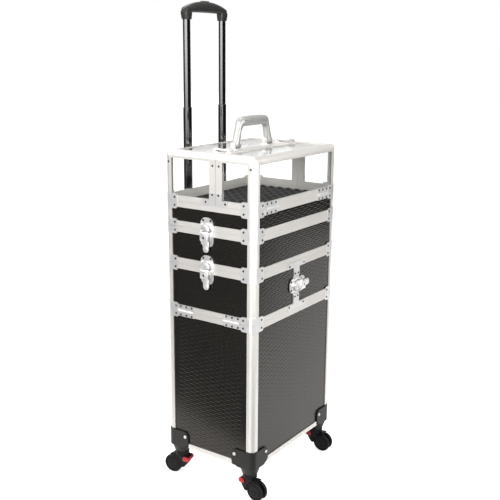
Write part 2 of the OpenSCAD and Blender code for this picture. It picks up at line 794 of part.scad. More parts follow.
// Casting at a lid corner, where two rails and a post meet
module lid_corner() difference() {
    cap_h = 34;
    intersection() {
        translate([0, 0, lid_top - cap_h]) linear_extrude(cap_h) rounded_corner(side_rail_w, post_r);
        union() {
            translate([0, 0, lid_top - cap_h]) linear_extrude(cap_h) difference() {
                rounded_corner(post_leg, post_r);
                translate([-2*post_leg, -2*post_leg]) square(2*post_leg - frame_t);
            }
            translate([-side_rail_w, -side_rail_w, lid_top - frame_t])
                cube([side_rail_w, side_rail_w, frame_t]);
            translate([-side_rail_w, -frame_t, lid_top - rail_h]) cube([side_rail_w, frame_t, rail_h]);
            translate([-frame_t, -side_rail_w, lid_top - rail_h]) cube([frame_t, side_rail_w, rail_h]);
        }
        intersection_for (flip = [0, 1]) mirror([flip, -flip, 0])
            translate([-60, 0, 0]) rotate([90, 0, 90]) linear_extrude(80) {
                translate([-90, lid_top - 60]) square([90 - rail_round, 60]);
                translate([-90, lid_top - 60]) square([90, 60 - rail_round]);
                translate([-rail_round, lid_top - rail_round]) circle(rail_round);
            }
    }
    translate([-panel_inset - clear_t, -side_rail_w - 1, lid_top - cap_h - 1])
        cube([clear_t, side_rail_w + 1 - post_lap + 0.5, cap_h + 1 - rail_h + rail_slot]);
    translate([-side_rail_w - 1, -panel_inset - clear_t, lid_top - cap_h - 1])
        cube([side_rail_w + 1 - post_lap + 0.5, clear_t, cap_h + 1 - rail_h + rail_slot]);
    translate([-side_rail_w - 1, -side_rail_w - 1, lid_top - panel_inset - clear_t])
        cube([rail_slot + 1, side_rail_w + 1 - long_rail_w + rail_slot, clear_t]);
}

// Half of the lid that lies on the +Y side of the split. The front half is
// its mirror image with its own split position and seam rail.
module lid_half(sy) place() mirror([0, sy < 0 ? 1 : 0, 0]) children();

function split_of(sy) = sy*lid_split + half_gap;

module lid_frame(sy, seam_w) color([0.82, 0.83, 0.84]) lid_half(sy) {
    y0 = split_of(sy);
    z0 = tray_top + seam/2;
    cap_h = 34;
    // Long side: strip above the seam, posts, corner castings and top rail
    on_face(BACK) {
        l = case_w/2 - post_leg - butt;
        strip(-l, l, z0, 1, clear_t);
        rail(-case_w/2 + side_rail_w + butt, case_w/2 - side_rail_w - butt, long_rail_w);
    }
    for (sx = SIDES) at_corner(sx, 1) {
        post(z0, lid_top - cap_h - butt, clear_t);
        lid_corner();
    }
    // Narrow sides: strip, centre post and top rail up to the split
    for (s = [0, 1]) mirror([s, 0, 0]) {
        translate([case_w/2, 0, 0]) rotate([0, 0, -90]) {
            strip(-(case_d/2 - post_leg - butt), -y0 - centre_post_w - butt, z0, 1, clear_t);
            translate([-y0, 0, z0]) linear_extrude(lid_top - rail_h - butt - z0) difference() {
                translate([-centre_post_w, -frame_t]) square([centre_post_w, frame_t]);
                translate([-centre_post_w - 1, -panel_inset - clear_t]) square([rail_slot + 1, clear_t]);
            }
            rail(-(case_d/2 - side_rail_w - butt), -y0, side_rail_w);
        }
    }
    // Seam rail across the top
    translate([-case_w/2 + side_rail_w + butt, y0, lid_top - frame_t]) difference() {
        cube([case_w - 2*side_rail_w - 2*butt, seam_w, frame_t]);
        translate([-1, seam_w - rail_slot, frame_t - panel_inset - clear_t])
            cube([case_w, rail_slot + 1, clear_t]);
    }
}

module lid_panels(sy, seam_w) color([0.93, 0.95, 0.96, 0.35]) lid_half(sy) {
    y0 = split_of(sy);
    z0 = tray_top + panel_lap;
    z1 = lid_top - rail_h + rail_slot - 0.5;
    on_face(BACK) panel(post_lap - case_w/2, case_w/2 - post_lap, z0, z1, clear_t);
    for (s = [0, 1]) mirror([s, 0, 0]) translate([case_w/2, 0, 0]) rotate([0, 0, -90])
        panel(post_lap - case_d/2, -y0 - centre_post_w + rail_slot - 0.5, z0, z1, clear_t);
    x = case_w/2 - side_rail_w + rail_slot - 0.5;
    y1 = case_d/2 - long_rail_w + rail_slot - 0.5;
    y2 = y0 + seam_w - rail_slot + 0.5;
    translate([-x, y2, lid_top - panel_inset - clear_t]) cube([2*x, y1 - y2, clear_t]);
}

module lid_fittings(sy) color([0.78, 0.79, 0.80]) lid_half(sy) {
    y0 = split_of(sy);
    for (sx = SIDES) at_corner(sx, 1) ear(tray_top + seam/2, 1);
    on_face(BACK) for (x = [-long_hinge_x, long_hinge_x]) translate([x, 0, 0])
        hinge_leaf(long_hinge_w, tray_top, 1, 1);
    for (s = [0, 1]) mirror([s, 0, 0]) translate([case_w/2, 0, tray_top + seam/2]) rotate([0, 0, -90])
        translate([-y0, 0, 0]) {
            translate([-36, 0, 0]) cube([36, plate_t, strip_h]);
            translate([-centre_post_w, 0, 0]) cube([centre_post_w, plate_t, 30]);
        }
}

module lid_front_panels() lid_panels(-1, seam_rail_front);
module lid_back_panels() lid_panels(1, seam_rail_back);
module lid_front_frame() lid_frame(-1, seam_rail_front);
module lid_back_frame() lid_frame(1, seam_rail_back);

module lid_front_fittings() {
    lid_fittings(-1);
    // Keeper with its round knob, one for each top catch
    color([0.82, 0.83, 0.84]) place() for (s = SIDES) translate([s*catch_x, 0, 0]) {
        translate([-9, lid_split - 15, lid_top]) cube([18, 14, 2]);
        translate([-7, lid_split - 6, lid_top + 5]) rotate([0, 90, 0]) cylinder(r = 4, h = 14);
        translate([-7, lid_split - 8, lid_top + 1]) cube([14, 4, 4]);
    }
}

module lid_back_fittings() {
    lid_fittings(1);
    color([0.82, 0.83, 0.84]) place() for (s = SIDES) {
        // Base plate, lugs and pin of the top catch
        translate([s*catch_x, 0, 0]) {
            translate([-9, lid_split + 22, lid_top]) cube([18, 14, 1.5]);
            for (t = SIDES) translate([t*8 - 1, catch_pivot_y - 3, lid_top]) cube([2, 6, 7]);
            translate([-9, catch_pivot_y, lid_top + 4.5]) rotate([0, 90, 0]) cylinder(r = 1.2, h = 18);
        }
        // Foot of the carry handle: plate, two lugs, pin and knob. The lug
        // towards the middle leaves room for the splay of the leg.
        translate([0, handle_y, 0]) mirror([s < 0 ? 1 : 0, 0, 0]) {
            translate([handle_foot - 16, -handle_foot_d/2, lid_top]) cube([32, handle_foot_d, 1.6]);
            for (x = [handle_foot + handle_foot_w/2 + 0.4, handle_foot - handle_foot_w/2 - 1.6 - lug_t]) {
                translate([x, -lug_r, lid_top]) cube([lug_t, 2*lug_r, handle_pivot_z - lid_top]);
                translate([x, 0, handle_pivot_z]) rotate([0, 90, 0]) cylinder(r = lug_r, h = lug_t);
            }
            translate([0, 0, handle_pivot_z]) rotate([0, 90, 0]) {
                translate([0, 0, handle_foot - handle_foot_w/2 - 3])
                    cylinder(r = handle_bore - play, h = handle_foot_w + 5);
                translate([0, 0, handle_foot - handle_foot_w/2 - 1.6 - lug_t - knob_l])
                    cylinder(r = lug_r - 1, h = knob_l + 0.5);
            }
        }
    }
}

// Outline of the carry handle, or of its finger gap: splayed legs and round shoulders
module handle_outline(half, foot, low, top, r) {
    polygon([[-foot, low], [-half, top - r], [-half + r, top - r], [-half + r, top],
        [half - r, top], [half - r, top - r], [half, top - r], [foot, low]]);
    for (s = SIDES) translate([s*(half - r), top - r]) circle(r);
}

// Carry handle: two flat splayed legs and a round grip, folding back on its pins
module carry_handle() color([0.68, 0.68, 0.67]) place() translate([0, handle_y, 0]) difference() {
    half = handle_l/2;
    top = lid_top + handle_h;
    union() {
        translate([0, handle_leg_d/2, 0]) rotate([90, 0, 0]) linear_extrude(handle_leg_d)
            difference() {
                handle_outline(half, handle_foot + handle_foot_w/2, handle_pivot_z, top, handle_r);
                handle_outline(half - handle_leg_w, handle_foot - handle_foot_w/2,
                    handle_pivot_z - 0.01, top - handle_d, handle_r/2);
            }
        for (s = SIDES) translate([s*handle_foot, 0, handle_pivot_z]) rotate([0, 90, 0])
            cylinder(r = handle_leg_d/2, h = handle_foot_w, center = true);
        translate([-half + handle_r, 0, top - handle_d/2]) rotate([0, 90, 0])
            cylinder(r = handle_d/2, h = 2*(half - handle_r));
    }
    translate([-case_w/2, 0, handle_pivot_z]) rotate([0, 90, 0]) cylinder(r = handle_bore, h = case_w);
}

// ------------------------------------------------------------------ locks

module side_lock(a, z) color([0.80, 0.81, 0.82]) place() on_face(a)
    translate([a == LEFT ? lock_x : -lock_x, 0, 0]) latch_lever(z);

module lock_front() color([0.80, 0.81, 0.82]) place() on_front_lock() latch_lever(0);

// Top catch: a lever on the back half that reaches up to the split
module lid_catch(s) color([0.80, 0.81, 0.82]) place() translate([s*catch_x, 0, 0]) difference() {
    union() {
        translate([-6.7, catch_pivot_y, lid_top + 4.5]) rotate([0, 90, 0]) cylinder(r = 2.8, h = 13.4);
        translate([-6.7, lid_split + 0.8, lid_top + 3]) cube([13.4, catch_pivot_y - lid_split - 0.8, 3]);
        translate([-5, lid_split + 0.8, lid_top + 1.8]) cube([10, 10, 5.5]);
    }
    translate([-10, catch_pivot_y, lid_top + 4.5]) rotate([0, 90, 0]) cylinder(r = 1.25, h = 20);
}

bin_panels();
bin_floor();
bin_posts();
bin_rails();
bin_fittings();
corner_guards();
trolley_outer_tubes();
trolley_clamps();
caster_body(FL[0], FL[1], FL[2]);  // caster_body_fl
caster_wheels(FL[0], FL[1], FL[2]);  // caster_wheels_fl
brake_lever(FL[0], FL[1], FL[2]);  // brake_lever_fl
caster_body(FR[0], FR[1], FR[2]);  // caster_body_fr
caster_wheels(FR[0], FR[1], FR[2]);  // caster_wheels_fr
brake_lever(FR[0], FR[1], FR[2]);  // brake_lever_fr
caster_body(BL[0], BL[1], BL[2]);  // caster_body_bl
caster_wheels(BL[0], BL[1], BL[2]);  // caster_wheels_bl
brake_lever(BL[0], BL[1], BL[2]);  // brake_lever_bl
caster_body(BR[0], BR[1], BR[2]);  // caster_body_br
caster_wheels(BR[0], BR[1], BR[2]);  // caster_wheels_br
brake_lever(BR[0], BR[1], BR[2]);  // brake_lever_br
trolley_lower_tubes();
trolley_middle_tubes();
trolley_upper_tubes();
trolley_grip();
trolley_button();
wing_panels(-1);  // wing_panels_left
wing_frame(-1);  // wing_frame_left
wing_fittings_left();
wing_panels(1);  // wing_panels_right
wing_frame(1);  // wing_frame_right
wing_fittings_right();
inner_tray(-1);  // inner_tray_left
tray_bars(-1, arm_x);  // tray_arms_left
tray_bars(-1, link_x);  // tray_links_left
inner_tray(1);  // inner_tray_right
tray_bars(1, arm_x);  // tray_arms_right
tray_bars(1, link_x);  // tray_links_right
middle_panels();
middle_floor();
middle_frame();
middle_fittings();
top_tray_panels();
top_tray_floor();
top_tray_frame();
top_tray_fittings();
foam_pad();
lid_front_panels();
lid_front_frame();
lid_front_fittings();
lid_back_panels();
lid_back_frame();
lid_back_fittings();
carry_handle();
side_lock(LEFT, middle_top);  // lock_middle_left
side_lock(RIGHT, middle_top);  // lock_middle_right
side_lock(LEFT, wing_top);  // lock_wing_left
side_lock(RIGHT, wing_top);  // lock_wing_right
lock_front();
lid_catch(-1);  // lid_catch_left
lid_catch(1);  // lid_catch_right
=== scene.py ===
"""A rolling makeup train case: black embossed board in an aluminium frame,
stacked as a deep bin, butterfly wings, two lift-off cases and a clear lid,
on four twin-wheel casters with a telescopic trolley behind."""

import math

import bmesh
import bpy
from mathutils import Matrix, Vector


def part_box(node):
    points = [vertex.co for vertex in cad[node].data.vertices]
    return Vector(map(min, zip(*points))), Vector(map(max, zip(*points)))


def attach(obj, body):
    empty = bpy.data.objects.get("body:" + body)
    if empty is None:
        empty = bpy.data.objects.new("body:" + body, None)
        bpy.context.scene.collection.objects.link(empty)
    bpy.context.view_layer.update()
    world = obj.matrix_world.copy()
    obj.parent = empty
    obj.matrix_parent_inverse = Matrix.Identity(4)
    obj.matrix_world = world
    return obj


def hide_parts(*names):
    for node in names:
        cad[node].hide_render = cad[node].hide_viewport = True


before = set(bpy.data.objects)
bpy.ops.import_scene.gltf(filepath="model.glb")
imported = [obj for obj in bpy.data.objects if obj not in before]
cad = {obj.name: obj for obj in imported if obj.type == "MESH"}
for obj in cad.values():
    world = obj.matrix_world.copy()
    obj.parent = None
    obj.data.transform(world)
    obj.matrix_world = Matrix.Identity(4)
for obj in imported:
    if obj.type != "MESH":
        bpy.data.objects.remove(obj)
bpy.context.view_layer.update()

# ---------------------------------------------------------------------------
# The camera looks down a little on the front left corner post. The faces of
# the case lie about MIDDLE_Y, since only the trolley stands out behind them.
MIDDLE_Y = (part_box("bin_rails")[0][1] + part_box("bin_rails")[1][1]) / 2
HALF_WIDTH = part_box("bin_rails")[1][0]
HALF_DEPTH = (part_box("bin_rails")[1][1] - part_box("bin_rails")[0][1]) / 2
lens_at = Vector((-1.6117, -1.1092 + MIDDLE_Y, 1.0340))
looks_at = Vector((0.0, MIDDLE_Y, 0.5557))
back = (lens_at - looks_at).normalized()
right = Vector((0, 0, 1)).cross(back).normalized()
up = back.cross(right)
roll = math.radians(0.44)
camera = bpy.data.objects.new("camera", bpy.data.cameras.new("camera"))
camera.matrix_world = Matrix((
    right * math.cos(roll) + up * math.sin(roll),
    up * math.cos(roll) - right * math.sin(roll),
    back,
)).transposed().to_4x4()
camera.location = lens_at
camera.data.lens = 59.76
camera.data.sensor_width = 36
camera.data.shift_x = -0.0056
bpy.context.collection.objects.link(camera)
bpy.context.scene.camera = camera

# ---------------------------------------------------------------------------
# The studio: a white floor that runs out of sight, an even white surround,
# a wide soft lamp on the left, a weaker one in front and a high one behind.
bpy.context.scene.view_settings.view_transform = "Standard"


def white_to_the_eye(nodes, links):
    """1 for the rays that see the background itself, in glass or metal too."""
    rays = nodes.new("ShaderNodeLightPath")
    seen = None
    for ray in ("Is Camera Ray", "Is Glossy Ray", "Is Transmission Ray"):
        if seen is None:
            seen = rays.outputs[ray]
        else:
            add = nodes.new("ShaderNodeMath")
            add.operation = "ADD"
            add.use_clamp = True
            links.new(seen, add.inputs[0])
            links.new(rays.outputs[ray], add.inputs[1])
            seen = add.outputs[0]
    return seen


world = bpy.data.worlds.new("studio")
bpy.context.scene.world = world
world.use_nodes = True
sky = world.node_tree
sky.nodes.clear()
even = sky.nodes.new("ShaderNodeBackground")
bright = sky.nodes.new("ShaderNodeBackground")
even.inputs["Color"].default_value = (0.97, 0.98, 1.0, 1)
even.inputs["Strength"].default_value = 0.5
bright.inputs["Color"].default_value = (1, 1, 1, 1)
bright.inputs["Strength"].default_value = 1.0
either = sky.nodes.new("ShaderNodeMixShader")
sky.links.new(white_to_the_eye(sky.nodes, sky.links), either.inputs[0])
sky.links.new(even.outputs[0], either.inputs[1])
sky.links.new(bright.outputs[0], either.inputs[2])
sky.links.new(either.outputs[0], sky.nodes.new("ShaderNodeOutputWorld").inputs[0])

paper = bpy.data.materials.new("studio_paper")
paper.use_nodes = True
tree = paper.node_tree
tree.nodes.clear()
matt = tree.nodes.new("ShaderNodeBsdfDiffuse")
matt.inputs["Color"].default_value = (0.88, 0.88, 0.88, 1)
glow = tree.nodes.new("ShaderNodeEmission")
glow.inputs["Color"].default_value = (1, 1, 1, 1)
glow.inputs["Strength"].default_value = 0.8
both = tree.nodes.new("ShaderNodeAddShader")
seen = tree.nodes.new("ShaderNodeMixShader")
tree.links.new(matt.outputs[0], both.inputs[0])
tree.links.new(glow.outputs[0], both.inputs[1])
tree.links.new(white_to_the_eye(tree.nodes, tree.links), seen.inputs[0])
tree.links.new(matt.outputs[0], seen.inputs[1])
tree.links.new(both.outputs[0], seen.inputs[2])
tree.links.new(seen.outputs[0], tree.nodes.new("ShaderNodeOutputMaterial").inputs[0])

floor = bpy.data.meshes.new("studio_floor")
floor.from_pydata([(-14, -14, 0), (14, -14, 0), (14, 14, 0), (-14, 14, 0)], [], [(0, 1, 2, 3)])
floor.materials.append(paper)
floor = bpy.data.objects.new("studio_floor", floor)
bpy.context.collection.objects.link(floor)


def soft_lamp(name, at, towards, size, power):
    """A rectangular lamp aimed at a point."""
    lamp = bpy.data.lights.new(name, "AREA")
    lamp.shape = "RECTANGLE"
    lamp.size, lamp.size_y = size
    lamp.energy = power
    lamp = bpy.data.objects.new(name, lamp)
    lamp.location = at
    lamp.rotation_euler = (Vector(towards) - Vector(at)).to_track_quat("-Z", "Y").to_euler()
    bpy.context.collection.objects.link(lamp)


soft_lamp("lamp_left", (-2.6, 0.9, 1.7), (0, 0, 0.5), (2.0, 1.8), 71)
soft_lamp("lamp_front", (0.9, -3.0, 2.2), (0, 0, 0.6), (1.6, 1.4), 20)
soft_lamp("lamp_over", (0.6, 1.4, 3.2), (0, 0, 0.8), (2.0, 2.0), 30)

# A wide white card behind the camera, bright at its top, draws the streak
# that fades down the trolley's tubes. Only polished faces see it.
card_white = bpy.data.materials.new("studio_card")
card_white.use_nodes = True
tree = card_white.node_tree
tree.nodes.clear()
height = tree.nodes.new("ShaderNodeSeparateXYZ")
tree.links.new(tree.nodes.new("ShaderNodeTexCoord").outputs["Object"], height.inputs[0])
fade = tree.nodes.new("ShaderNodeMapRange")
tree.links.new(height.outputs["Z"], fade.inputs["Value"])
for socket, value in (("From Min", 0.40), ("From Max", 1.10), ("To Min", 1.0), ("To Max", 10.0)):
    fade.inputs[socket].default_value = value
lit = tree.nodes.new("ShaderNodeEmission")
tree.links.new(fade.outputs[0], lit.inputs["Strength"])
tree.links.new(lit.outputs[0], tree.nodes.new("ShaderNodeOutputMaterial").inputs["Surface"])


def hide_from_matt(thing):
    """Leaves it in mirror reflections only."""
    thing.visible_camera = False
    thing.visible_diffuse = False
    thing.visible_shadow = False
    thing.visible_transmission = False


# Black cloths lie and hang round the set, and a grey felt lies in front of the corner post. A black sheet
# lying left of and behind the case is the case's shadow on the floor, painted in for polished faces. Only
# polished faces see them.
CLOTH_TOP = 1.6
velvet = bpy.data.materials.new("studio_velvet")
velvet.use_nodes = True
velvet.node_tree.nodes["Principled BSDF"].inputs["Base Color"].default_value = (0.004, 0.004, 0.004, 1)
velvet.node_tree.nodes["Principled BSDF"].inputs["Roughness"].default_value = 1
felt = velvet.copy()
felt.name = "studio_felt"
felt.node_tree.nodes["Principled BSDF"].inputs["Base Color"].default_value = (0.15, 0.145, 0.14, 1)
for name, corners in (
    ("cloth_near", [(-0.32, -0.18, 0.002), (-2.62, -1.02, 0.002), (-1.9, -2.3, 0.002), (0.5, -2.64, 0.002),
                    (-0.12, -0.30, 0.002)]),
    # The case's painted shadow on the floor, which only reflections show.
    ("cloth_left", [(-0.36, -0.05, 0.001), (-0.52, 0.44, 0.001), (-0.95, 1.25, 0.001),
                    (-1.75, 0.72, 0.001)]),
    ("cloth_left_hung", [(-1.75, 0.72, 0), (-0.95, 1.25, 0), (-0.95, 1.25, 0.48), (-1.75, 0.72, 0.48)]),
    ("cloth_front", [(0.88, -0.84, 0.001), (1.9, -1.45, 0.001), (3.6, -2.6, 0.001), (0.1, -3.0, 0.001),
                     (0.12, -1.15, 0.001)]),
    ("cloth_far_right", [(3.0, 0.5, 0), (2.9, -0.9, 0), (2.2, -2.1, 0), (0.7, -3.0, 0),
                         (0.7, -3.0, CLOTH_TOP), (2.2, -2.1, CLOTH_TOP), (2.9, -0.9, CLOTH_TOP),
                         (3.0, 0.5, CLOTH_TOP)]),
    ("cloth_far_left", [(-2.9, 0.4, 0), (-2.6, 1.4, 0), (-1.7, 2.5, 0), (-0.8, 2.9, 0),
                        (-0.8, 2.9, CLOTH_TOP), (-1.7, 2.5, CLOTH_TOP), (-2.6, 1.4, CLOTH_TOP),
                        (-2.9, 0.4, CLOTH_TOP)]),
):
    cloth = bpy.data.meshes.new(name)
    last = len(corners) - 1
    if "far" in name:
        faces = [(i, i + 1, last - i - 1, last - i) for i in range(len(corners) // 2 - 1)]
    else:
        faces = [tuple(range(len(corners)))]
    cloth.from_pydata(corners, [], faces)
    cloth.materials.append(felt if name == "cloth_near" else velvet)
    cloth = bpy.data.objects.new(name, cloth)
    bpy.context.collection.objects.link(cloth)
    hide_from_matt(cloth)

CARD_X, CARD_Y, CARD_AWAY = -0.07, 0.14, 2.6
CARD_FROM, CARD_TO = 206, 302
CARD_LOW, CARD_HIGH = 0.35, 1.40
posts = [(CARD_X + CARD_AWAY * math.cos(math.radians(a)), CARD_Y + CARD_AWAY * math.sin(math.radians(a)))
         for a in range(CARD_FROM, CARD_TO + 1, (CARD_TO - CARD_FROM) // 8)]
card = bpy.data.meshes.new("card_behind")
card.from_pydata([(x, y, z) for x, y in posts for z in (CARD_LOW, CARD_HIGH)], [],
                 [(2 * i, 2 * i + 2, 2 * i + 3, 2 * i + 1) for i in range(len(posts) - 1)])
card.materials.append(card_white)
card = bpy.data.objects.new("card_behind", card)
bpy.context.collection.objects.link(card)
hide_from_matt(card)

# ---------------------------------------------------------------------------
# Board panels: thin plywood faced with black plastic sheet, embossed with
# rows of short raised dashes, each slid into the slots of its frame.
FACES = {"back": 0, "left": 90, "front": 180, "right": -90}
SECTIONS = {"bin": (0.095, 0.4198), "wing": (0.4462, 0.5338),
            "middle": (0.5602, 0.6208), "tray": (0.6472, 0.6788)}
POST_LEG = 0.019
PANEL_INSET = 0.002


def add(tree, kind, feeds=None, **settings):
    """A node with its settings, each input fed by a number or by another node's socket."""
    made = tree.nodes.new(kind)
    for key, value in settings.items():
        setattr(made, key, value)
    for socket, feed in (feeds or {}).items():
        if isinstance(feed, bpy.types.NodeSocket):
            tree.links.new(feed, made.inputs[socket])
        else:
            made.inputs[socket].default_value = feed
    return made


def finish(name, dark, light, patch, roughness, grain, depth, **shader):
    """A surface whose colour and roughness drift in patches and whose grain is raised."""
    made = bpy.data.materials.new(name)
    made.use_nodes = True
    tree = made.node_tree
    coat = tree.nodes["Principled BSDF"]
    for socket, value in shader.items():
        coat.inputs[socket.replace("_", " ")].default_value = value
    place = add(tree, "ShaderNodeTexCoord").outputs["Object"]
    drift = add(tree, "ShaderNodeTexNoise", {"Vector": place, "Scale": patch, "Detail": 4.0})
    blend = add(tree, "ShaderNodeMix", {0: drift.outputs["Fac"], 6: (*dark, 1), 7: (*light, 1)},
                data_type="RGBA")
    tree.links.new(blend.outputs[2], coat.inputs["Base Color"])
    fine = add(tree, "ShaderNodeTexNoise", {"Vector": place, "Scale": grain, "Detail": 3.0})
    rough = add(tree, "ShaderNodeMapRange", {"Value": fine.outputs["Fac"], "From Min": 0.3,
                "From Max": 0.7, "To Min": roughness[0], "To Max": roughness[1]})
    tree.links.new(rough.outputs[0], coat.inputs["Roughness"])
    raised = add(tree, "ShaderNodeBump", {"Height": fine.outputs["Fac"], "Distance": depth})
    tree.links.new(raised.outputs[0], coat.inputs["Normal"])
    return made


def give(material, *nodes):
    """The CAD parts named keep their shape and take this material."""
    for name in nodes:
        mesh = cad[name].data
        mesh.materials.clear()
        mesh.materials.append(material)


def face(name):
    """From a face's own frame, along it, out of it and up, to the case's."""
    half = HALF_DEPTH if name in ("front", "back") else HALF_WIDTH
    return (Matrix.Translation((0, MIDDLE_Y, 0))
            @ Matrix.Rotation(math.radians(FACES[name]), 4, "Z")
            @ Matrix.Translation((0, half, 0)))


def pattern(name, **inputs):
    """An empty node tree with named inputs, and where its geometry comes in."""
    tree = bpy.data.node_groups.new(name, "GeometryNodeTree")
    tree.interface.new_socket("Geometry", in_out="INPUT", socket_type="NodeSocketGeometry")
    for label, kind in inputs.items():
        tree.interface.new_socket(label.replace("_", " "), in_out="INPUT", socket_type="NodeSocket" + kind)
    tree.interface.new_socket("Geometry", in_out="OUTPUT", socket_type="NodeSocketGeometry")
    return tree, tree.nodes.new("NodeGroupInput").outputs


def close(tree, shape, material):
    """Ends a tree: the copies become one mesh of one material."""
    real = add(tree, "GeometryNodeRealizeInstances", {0: shape})
    tinted = add(tree, "GeometryNodeSetMaterial", {0: real.outputs[0], "Material": material})
    tree.links.new(tinted.outputs[0], tree.nodes.new("NodeGroupOutput").inputs[0])


def grown(tree, start=None, **sizes):
    """The plain mesh that a tree makes with these sizes."""
    holder = bpy.data.objects.new(tree.name, start or bpy.data.meshes.new(tree.name))
    bpy.context.collection.objects.link(holder)
    modifier = holder.modifiers.new(tree.name, "NODES")
    modifier.node_group = tree
    for item in tree.interface.items_tree:
        if item.in_out == "INPUT" and item.name.replace(" ", "_") in sizes:
            modifier[item.identifier] = sizes[item.name.replace(" ", "_")]
    evaluated = holder.evaluated_get(bpy.context.evaluated_depsgraph_get())
    mesh = bpy.data.meshes.new_from_object(evaluated)
    bpy.data.objects.remove(holder)
    return mesh


def piece(name, meshes, material, body, angle=40):
    """One object of one or more meshes, on a body, with its material slot.
    Edges sharper than the angle stay crisp."""
    joined = bmesh.new()
    for mesh in meshes:
        joined.from_mesh(mesh)
    whole = bpy.data.meshes.new(name)
    joined.to_mesh(whole)
    joined.free()
    for one in material if isinstance(material, (list, tuple)) else (material,):
        whole.materials.append(one)
    whole.shade_smooth()
    whole.set_sharp_from_angle(angle=math.radians(angle))
    made = bpy.data.objects.new(name, whole)
    bpy.context.collection.objects.link(made)
    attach(made, body)
    return made


embossed = finish("embossed_board", (0.010, 0.009, 0.008), (0.015, 0.0138, 0.012), 9,
                  (0.16, 0.24), 900, 0.00003, IOR=1.44, Specular_Tint=(1.0, 0.92, 0.82, 1.0))
give(embossed, "bin_panels", "wing_panels_left", "wing_panels_right", "middle_panels", "top_tray_panels")

tree, put = pattern("dashes", Columns="Int", Rows="Int", Column_Pitch="Float", Row_Pitch="Float",
                    Dash_Length="Float", Dash_Height="Float", Rise="Float", Material="Material")


def times(a, b, how="MULTIPLY"):
    return add(tree, "ShaderNodeMath", {0: a, 1: b}, operation=how).outputs[0]


across = times(times(put["Columns"], 1, "SUBTRACT"), put["Column Pitch"])
upwards = times(times(put["Rows"], 1, "SUBTRACT"), put["Row Pitch"])
lattice = add(tree, "GeometryNodeMeshGrid", {"Size X": across, "Size Y": upwards,
              "Vertices X": put["Columns"], "Vertices Y": put["Rows"]})
odd = times(times(add(tree, "GeometryNodeInputIndex").outputs[0], put["Rows"], "MODULO"), 2, "MODULO")
shift = times(times(odd, 0.5, "SUBTRACT"), times(put["Column Pitch"], 0.5))
staggered = add(tree, "GeometryNodeSetPosition", {"Geometry": lattice.outputs[0],
                "Offset": add(tree, "ShaderNodeCombineXYZ", {"X": shift}).outputs[0]})
dash = add(tree, "GeometryNodeMeshCone", {"Vertices": 8, "Radius Top": 0.25, "Radius Bottom": 0.5,
           "Depth": 1.0}, fill_type="NGON")
sized = add(tree, "ShaderNodeCombineXYZ", {"X": put["Dash Length"], "Y": put["Dash Height"],
            "Z": put["Rise"]})
dashes = add(tree, "GeometryNodeInstanceOnPoints", {"Points": staggered.outputs[0],
             "Instance": dash.outputs[0], "Scale": sized.outputs[0]})
close(tree, dashes.outputs[0], put["Material"])
DASH_PITCH, ROW_PITCH = 0.0300, 0.00515
DASH_LENGTH, DASH_HEIGHT, DASH_RISE = 0.0286, 0.0030, 0.00022
BARE_ENDS, BARE_EDGES = 0.004, 0.001


def embossing(section, sides, left=None, right=None):
    """The dashes of a section's faces, from post to post or between two places along them."""
    low, high = SECTIONS[section]
    made = []
    for side in sides:
        edge = (HALF_DEPTH if side in ("left", "right") else HALF_WIDTH) - POST_LEG
        start = -edge if left is None else left
        end = edge if right is None else right
        columns = int((end - start - BARE_ENDS) / DASH_PITCH)
        rows = int((high - low - BARE_EDGES) / ROW_PITCH)
        mesh = grown(tree, Columns=columns, Rows=rows, Column_Pitch=DASH_PITCH, Row_Pitch=ROW_PITCH,
                     Dash_Length=DASH_LENGTH, Dash_Height=DASH_HEIGHT, Rise=DASH_RISE, Material=embossed)
        mesh.transform(face(side) @ Matrix.Translation(((start + end) / 2, -PANEL_INSET, (low + high) / 2))
                       @ Matrix.Rotation(math.radians(-90), 4, "X"))
        made.append(mesh)
    return made


ALL_ROUND = ("front", "back", "left", "right")
piece("bin_embossing", embossing("bin", ALL_ROUND), embossed, "bin", 60)
piece("middle_embossing", embossing("middle", ALL_ROUND), embossed, "middle_case", 60)
piece("tray_embossing", embossing("tray", ALL_ROUND), embossed, "top_tray", 60)
WING_END, WING_POST = HALF_WIDTH - POST_LEG, 0.0125
piece("wing_embossing_left",
      embossing("wing", ["left"]) + embossing("wing", ["back"], -WING_END, -WING_POST)
      + embossing("wing", ["front"], WING_POST, WING_END), embossed, "wing_left", 60)
piece("wing_embossing_right",
      embossing("wing", ["right"]) + embossing("wing", ["back"], WING_POST, WING_END)
      + embossing("wing", ["front"], -WING_END, -WING_POST), embossed, "wing_right", 60)

# ---------------------------------------------------------------------------
# Floors of the bin, the middle case and the top tray: plywood with a black
# woven lining glued on, let in between the frame strips.
lining = finish("lined_board", (0.030, 0.029, 0.028), (0.042, 0.041, 0.040), 30, (0.75, 0.95),
                1400, 0.0001, Sheen_Weight=0.3, Sheen_Roughness=0.5)
give(lining, "bin_floor", "middle_floor", "top_tray_floor")

# ---------------------------------------------------------------------------
# Frame: extruded aluminium, satin anodised. Half-round posts stand at the
# corners and flat strips with a shallow groove run between them.
aluminium = finish("anodised_aluminium", (0.62, 0.597, 0.568), (0.68, 0.66, 0.635), 14, (0.46, 0.56),
                   700, 0.00001, Metallic=1.0)
give(aluminium, "bin_posts", "bin_rails", "wing_frame_left", "wing_frame_right", "middle_frame",
     "top_tray_frame", "lid_front_frame", "lid_back_frame")

